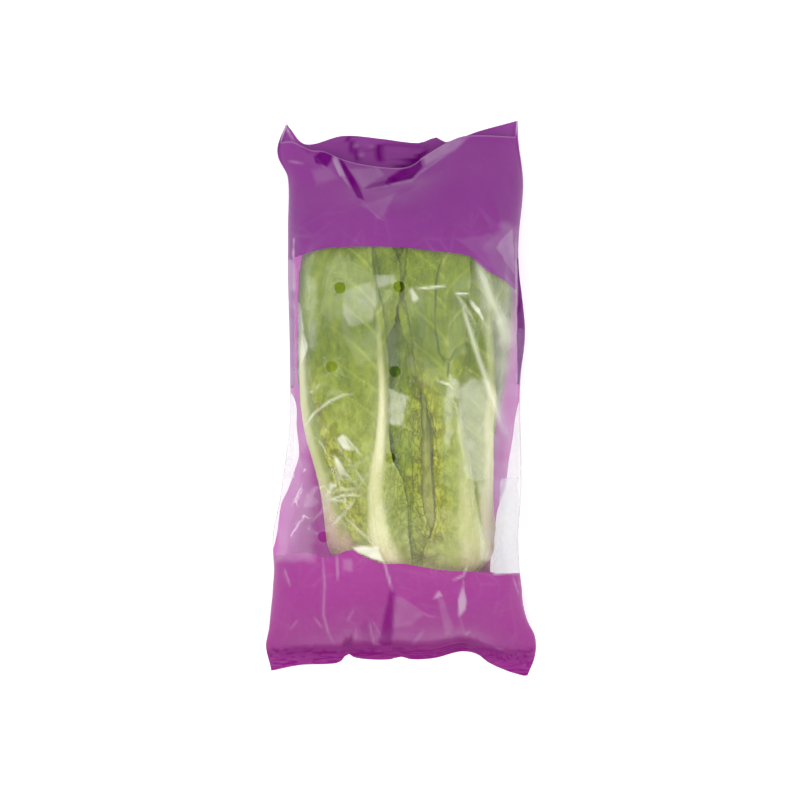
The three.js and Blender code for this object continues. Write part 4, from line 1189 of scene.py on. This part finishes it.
def film_look(x, y, creases, patches, streaks):
    """How milky a film is, partly haze and partly painted highlight on its creases, streaks and bright
    patches, and how dark, with painted shade in its folds, at each place.
    """
    loose, ends = how_loose(x, y)
    # painted glints along the sharp folds between the crumples' facets
    haze_and_highlight = (0.06 + 0.3 * loose) * (1 - 0.95 * ends) + 0.045 * ramp(*WELDED_END, y)
    haze_and_highlight = haze_and_highlight * look_up(RIDGES, x, y)
    haze_and_highlight = haze_and_highlight * (0.5 + 0.5 * noise(x / 14, y / 14, 41))
    dark = np.zeros(np.shape(x))
    patchy = 0.75 + 0.25 * noise(x / 3, y / 3, 43)
    # painted highlight: a white line along each crease
    for points, _, _, _, white in creases:
        away, _, place = to_path(x, y, points)
        faded = 0.4 + 0.6 * tapered(place, 0.25, 0.75)
        haze_and_highlight = np.maximum(haze_and_highlight, white * patchy * bell(away, CREASE_LINE) * faded)
    tiny = look_up(TINY, x, y)
    sparkle = 0.5 + 0.55 * tiny + 0.45 * look_up(FINE, x, y)
    shade = 0.93 + 0.07 * noise(x / 6, y / 9, 48)
    # painted highlight where a patch's amount is positive, painted shade where it is negative
    for corners, amount, soft in patches:
        ragged = 1.2 * (1 - ends) + 0.4 * soft
        depth = depth_inside(x, y, corners) + ragged * (tiny - 0.5)
        covers = abs(amount) * ramp(-soft, soft, depth)
        if amount > 0:
            haze_and_highlight = np.maximum(haze_and_highlight, sparkle * covers)
        else:
            dark = np.maximum(dark, shade * covers)
    # painted highlight along the long streaks
    for points, half_width, amount in streaks:
        away, _, place = to_path(x, y, points)
        width = half_width * (0.4 + 0.7 * place)
        haze_and_highlight += (1 - haze_and_highlight) * amount * tapered(place, 0.2, 0.7) * bell(away, width)
    # crumpled at the weld: faint painted glints along some lines, and darker, with painted shade deepest in
    # its wrinkles
    by_weld = ramp(-170, -179, y)
    lines = np.clip(1 - 5 * np.abs(noise((x + y) / 9, y / 1.7, 61)), 0, 1)
    haze_and_highlight = np.maximum(haze_and_highlight, 0.05 * by_weld * lines)
    wrinkled = np.clip(1 - 4 * np.abs(noise((x - y) / 9, y / 1.5, 62)), 0, 1)
    dark = np.maximum(dark, by_weld * (0.4 + 0.5 * wrinkled))
    return haze_and_highlight * (1 - 0.85 * dark), dark


# ---- print

# Where the printed bands end towards the clear window, and the back's print towards the sides.
TOP_BAND = [
    (-90, 97), (-75, 99), (-71, 100), (-54, 104.6), (-40, 105.4), (-24, 105.7), (0, 105), (26, 102),
    (32, 101.5), (44, 99.7), (48, 98), (57, 90), (70, 82.6), (78, 76.3), (90, 70),
]
BOTTOM_BAND = [
    (-92, -110), (-80, -108), (-68, -106.8), (-52, -110), (-36, -105), (-27, -109.5), (-14, -114.4),
    (0, -114.4), (26, -118.7), (57, -120.8), (66, -122.5), (82, -121.8),
]
BACK_LEFT = [
    (-130, -100), (-109, -92), (-95, -88.5), (-84, -87), (-73, -85), (-62, -80), (-50, -76), (-39, -73),
    (-20, -74.5), (0, -76), (20, -90), (60, -100),
]
BACK_RIGHT = [
    (-125, 61), (-108, 62), (-94, 64.4), (-80, 66), (-67, 70), (-58, 72.5), (-45, 74), (-27, 77),
    (-13, 78.7), (10, 84), (60, 100),
]
LEFT_PRINT = (-75.6, 8)  # the printed left side: its inner edge and its lower end
RIGHT_PRINT = (79.2, 10, 99)  # the printed right side: its inner edge and its two ends


def print_depth(x, y, upper):
    """Signed distance into the printed parts, in mm."""
    bands = np.maximum(y - curve(TOP_BAND, x), curve(BOTTOM_BAND, x) - y)
    left = np.minimum(LEFT_PRINT[0] - x, y - LEFT_PRINT[1])
    edge, start, end = RIGHT_PRINT
    right = np.minimum(np.minimum(x - edge, y - start), end - y)
    front = np.maximum(bands, np.maximum(left, right))
    back = np.maximum(bands, np.minimum(x - curve(BACK_LEFT, y), curve(BACK_RIGHT, y) - x))
    return np.where(upper, front, back)


# ---- building the sleeve

FRONT_COLUMNS = 220
BACK_COLUMNS = 84
SEAL_ROWS = 21
SLEEVE_ROWS = 300
SEAL_TOP = SEAL_Y + SEAL_LENGTH
SEAL_LINE_STEP = 1.75  # between the pressed lines of the weld
FILM_GAP = 0.8  # between the head and the film
WELD_Z = 1.1  # of the upper film in the weld
WELD_UNDER_Z = 0.5
WELD_LINE_DEPTH = 0.3
LOWEST_Z = 0.05
LIP_MILK = 0.16
SIDE_HAZE_AND_SHEEN = 0.42
VENT_RIM_MILK = 0.06
WELD_LINE_DARK = 0.8


def clear_of_head(points, under):
    """The film's points, moved out to where they clear the head."""
    x, y, z = np.moveaxis(points, -1, 0)
    needed = blurred(spread_out(under, 5), 3.5) + FILM_GAP
    dx, dz = x - curve(AXIS_X, y), z - axis_z(y)
    phi, r = np.arctan2(dx, dz), np.hypot(dx, dz)
    within = (y > BUTT_Y - 2) & (y < 151)
    short = np.clip(np.where(within, sample(needed, phi, y) - r, 0), 0, None)
    short = gaussian(gaussian(short, 2, 1, wrap=True), 3, 0)
    return points + np.stack([np.sin(phi), 0 * phi, np.cos(phi)], axis=-1) * short[..., None]


def cut_vents(flat, faces, on_top, haze_and_highlight):
    """The faces without those in the vents, with flat and the film's haze and highlight changed in place.

    A square of cells is cut out at each vent, and the grid round it is drawn out to a circle.
    """
    faces_on_top = on_top[faces].all(axis=1)
    keep = np.ones(len(faces), bool)
    for place in VENTS:
        off = (flat[:, :2] - place) / VENT_RADIUS
        square, around = np.abs(off).max(axis=1), np.hypot(off[:, 0], off[:, 1])
        cut = faces_on_top & (np.abs(off[faces].mean(axis=1)).max(axis=1) < 1)
        keep &= ~cut
        rounded = 1 + (square / around - 1) * ramp(2, 1, square)
        flat[on_top, :2] = (place + off * rounded[:, None] * VENT_RADIUS)[on_top]
        rim = np.intersect1d(faces[cut], faces[~cut])
        flat[rim, :2] = place + off[rim] / around[rim, None] * VENT_RADIUS
        haze_and_highlight[rim] = np.maximum(haze_and_highlight[rim], VENT_RIM_MILK)
    return faces[keep]


def build_sleeve(under):
    front = -math.pi / 2 + math.pi * np.arange(FRONT_COLUMNS) / FRONT_COLUMNS
    back = math.pi / 2 + math.pi * np.arange(BACK_COLUMNS) / BACK_COLUMNS
    seal_rows = np.linspace(SEAL_Y, SEAL_TOP, SEAL_ROWS)[:-1]
    rows = np.concatenate([seal_rows, np.linspace(SEAL_TOP, MOUTH_Y, SLEEVE_ROWS)])
    psi, row_y = np.meshgrid(np.concatenate([front, back]), rows)
    points, upper = sleeve_surface(psi, row_y)
    # wrinkled along the outward direction across each section
    tangent = np.roll(points, -1, axis=1) - np.roll(points, 1, axis=1)
    out = np.stack([-tangent[..., 2], 0 * row_y, tangent[..., 0]], axis=-1)
    out /= np.linalg.norm(out, axis=-1, keepdims=True) + 1e-9
    lift = np.abs(np.cos(psi)) ** 0.5
    x, y = points[..., 0], points[..., 1]
    over = film_wrinkles(x, y, CREASES) * (0.25 + 0.75 * lift)
    below = film_wrinkles(x, y, INSIDE_CREASES) * (0.2 + 0.8 * ramp(*IN_MOUTH, y))
    points = points + out * np.where(upper, over, -below)[..., None]
    points = clear_of_head(points, under)
    # pressed flat at the weld
    line = 0.5 - 0.5 * np.cos(TURN * (row_y - SEAL_Y) / SEAL_LINE_STEP)
    line *= row_y < SEAL_TOP
    pressed = 1 - ramp(SEAL_TOP - 1, SEAL_TOP + 9, row_y)
    flat_z = np.where(upper, WELD_Z - WELD_LINE_DEPTH * line, WELD_UNDER_Z)
    points[..., 2] = np.maximum(points[..., 2] * (1 - pressed) + flat_z * pressed, LOWEST_Z)

    x, y = points[..., 0], points[..., 1]
    top = film_look(x, y, CREASES, PATCHES, STREAKS)
    bottom = film_look(x, y, INSIDE_CREASES, INSIDE_PATCHES, [])
    shown = ramp(*IN_MOUTH, y)
    haze_and_highlight, dark = (np.where(upper, t, b * shown) for t, b in zip(top, bottom))
    haze_and_highlight = np.where(upper & (row_y > MOUTH_Y - 1), np.maximum(haze_and_highlight, LIP_MILK), haze_and_highlight)
    # where the sides turn down steeply the film is whitened: haze, and painted sheen standing in for its
    # reflection there
    side_haze_and_sheen = SIDE_HAZE_AND_SHEEN * (1 - dark) * ramp(0.4, 0.12, lift) * ramp(-130, -112, y)
    haze_and_highlight = np.maximum(haze_and_highlight, side_haze_and_sheen).ravel()
    crisp = 0.25 + 0.75 * ramp(-8, 0, x) * ramp(50, 42, x)
    dark = np.maximum(dark, WELD_LINE_DARK * line * crisp)
    looks = {
        "print": print_depth(x, y, upper),
        "haze_and_highlight": haze_and_highlight,
        "dark": dark,
        "bare": ramp(-8, 0, np.abs(x - curve(AXIS_X, y)) - curve(HALF_WIDTH, y)),
        "inside": np.where(upper, 0, ramp(-132, -118, y) * ramp(118, 104, y)),
    }
    flat = points.reshape(-1, 3)
    faces = grid_faces(*psi.shape, closed=True, turned=True)
    faces = cut_vents(flat, faces, upper.ravel(), haze_and_highlight)
    used, faces = np.unique(faces, return_inverse=True)
    looks = {key: values.ravel()[used] for key, values in looks.items()}
    film = new_piece("sleeve_film", flat[used], [faces.reshape(-1, 4)], film_material(), looks)
    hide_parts("sleeve")


# ---- floor, lights and camera

FLOOR_HALF_SIZE = 4.0
FLOOR_DROP = 0.0004  # under the sleeve, so that the two don't share a plane
LIGHT_TARGET = (0, 0, 0.05)
# Name, place and size in metres, radiance.
LIGHTS = [
    ("left_softbox", (-0.72, 0.45, 1.27), (0.9, 0.9), 4.4),
    ("right_softbox", (0.95, 0.15, 1.15), (0.7, 1.2), 3.4),
    ("low_softbox", (0.1, -1.2, 1.3), (1.3, 0.7), 2.2),
    ("top_softbox", (0, 0, 3.3), (1.6, 1.6), 1.7),
    ("left_strip", (-1.3, -0.3, 0.8), (0.06, 1.3), 9),
]
WORLD_STRENGTH = 0.6
VIEW_MIDDLE = np.array([-2.1, -0.7, 0])  # in the head's own frame, in mm
VIEW_WIDTH = 0.56
VIEW_DISTANCE = 6.5
VIEW_HEIGHT = 0.03  # of the plane that is VIEW_WIDTH wide
SENSOR = 36


def build_stage():
    size = FLOOR_HALF_SIZE
    corners = [(-size, -size, 0), (size, -size, 0), (size, size, 0), (-size, size, 0)]
    floor = bpy.data.meshes.new("floor")
    floor.from_pydata(corners, [], [(0, 1, 2, 3)])
    floor.materials.append(floor_material())
    plane = bpy.data.objects.new("floor", floor)
    plane.location.z = -FLOOR_DROP
    link(plane)

    world = bpy.data.worlds.new("studio")
    world.use_nodes = True
    background = world.node_tree.nodes["Background"]
    background.inputs[0].default_value = (1, 1, 1, 1)
    background.inputs[1].default_value = WORLD_STRENGTH
    bpy.context.scene.world = world

    for name, place, size, radiance in LIGHTS:
        light = bpy.data.lights.new(name, "AREA")
        light.shape = "RECTANGLE"
        light.size, light.size_y = size
        light.energy = radiance * math.pi * size[0] * size[1]
        lamp = bpy.data.objects.new(name, light)
        lamp.location = place
        towards = Vector(LIGHT_TARGET) - Vector(place)
        lamp.rotation_euler = towards.to_track_quat("-Z", "Y").to_euler()
        link(lamp)

    camera = bpy.data.cameras.new("camera")
    camera.sensor_width = SENSOR
    camera.lens = SENSOR * VIEW_DISTANCE / VIEW_WIDTH
    camera.clip_end = 20
    eye = bpy.data.objects.new("camera", camera)
    middle = (SHIFT + VIEW_MIDDLE) * MM
    eye.location = (middle[0], middle[1], VIEW_DISTANCE + VIEW_HEIGHT)
    link(eye)
    bpy.context.scene.camera = eye
    bpy.context.scene.view_settings.view_transform = "Standard"
    bpy.context.scene.cycles.transparent_max_bounces = 24


build_stage()
build_core()
head_field = build_leaves()
build_sleeve(head_field)
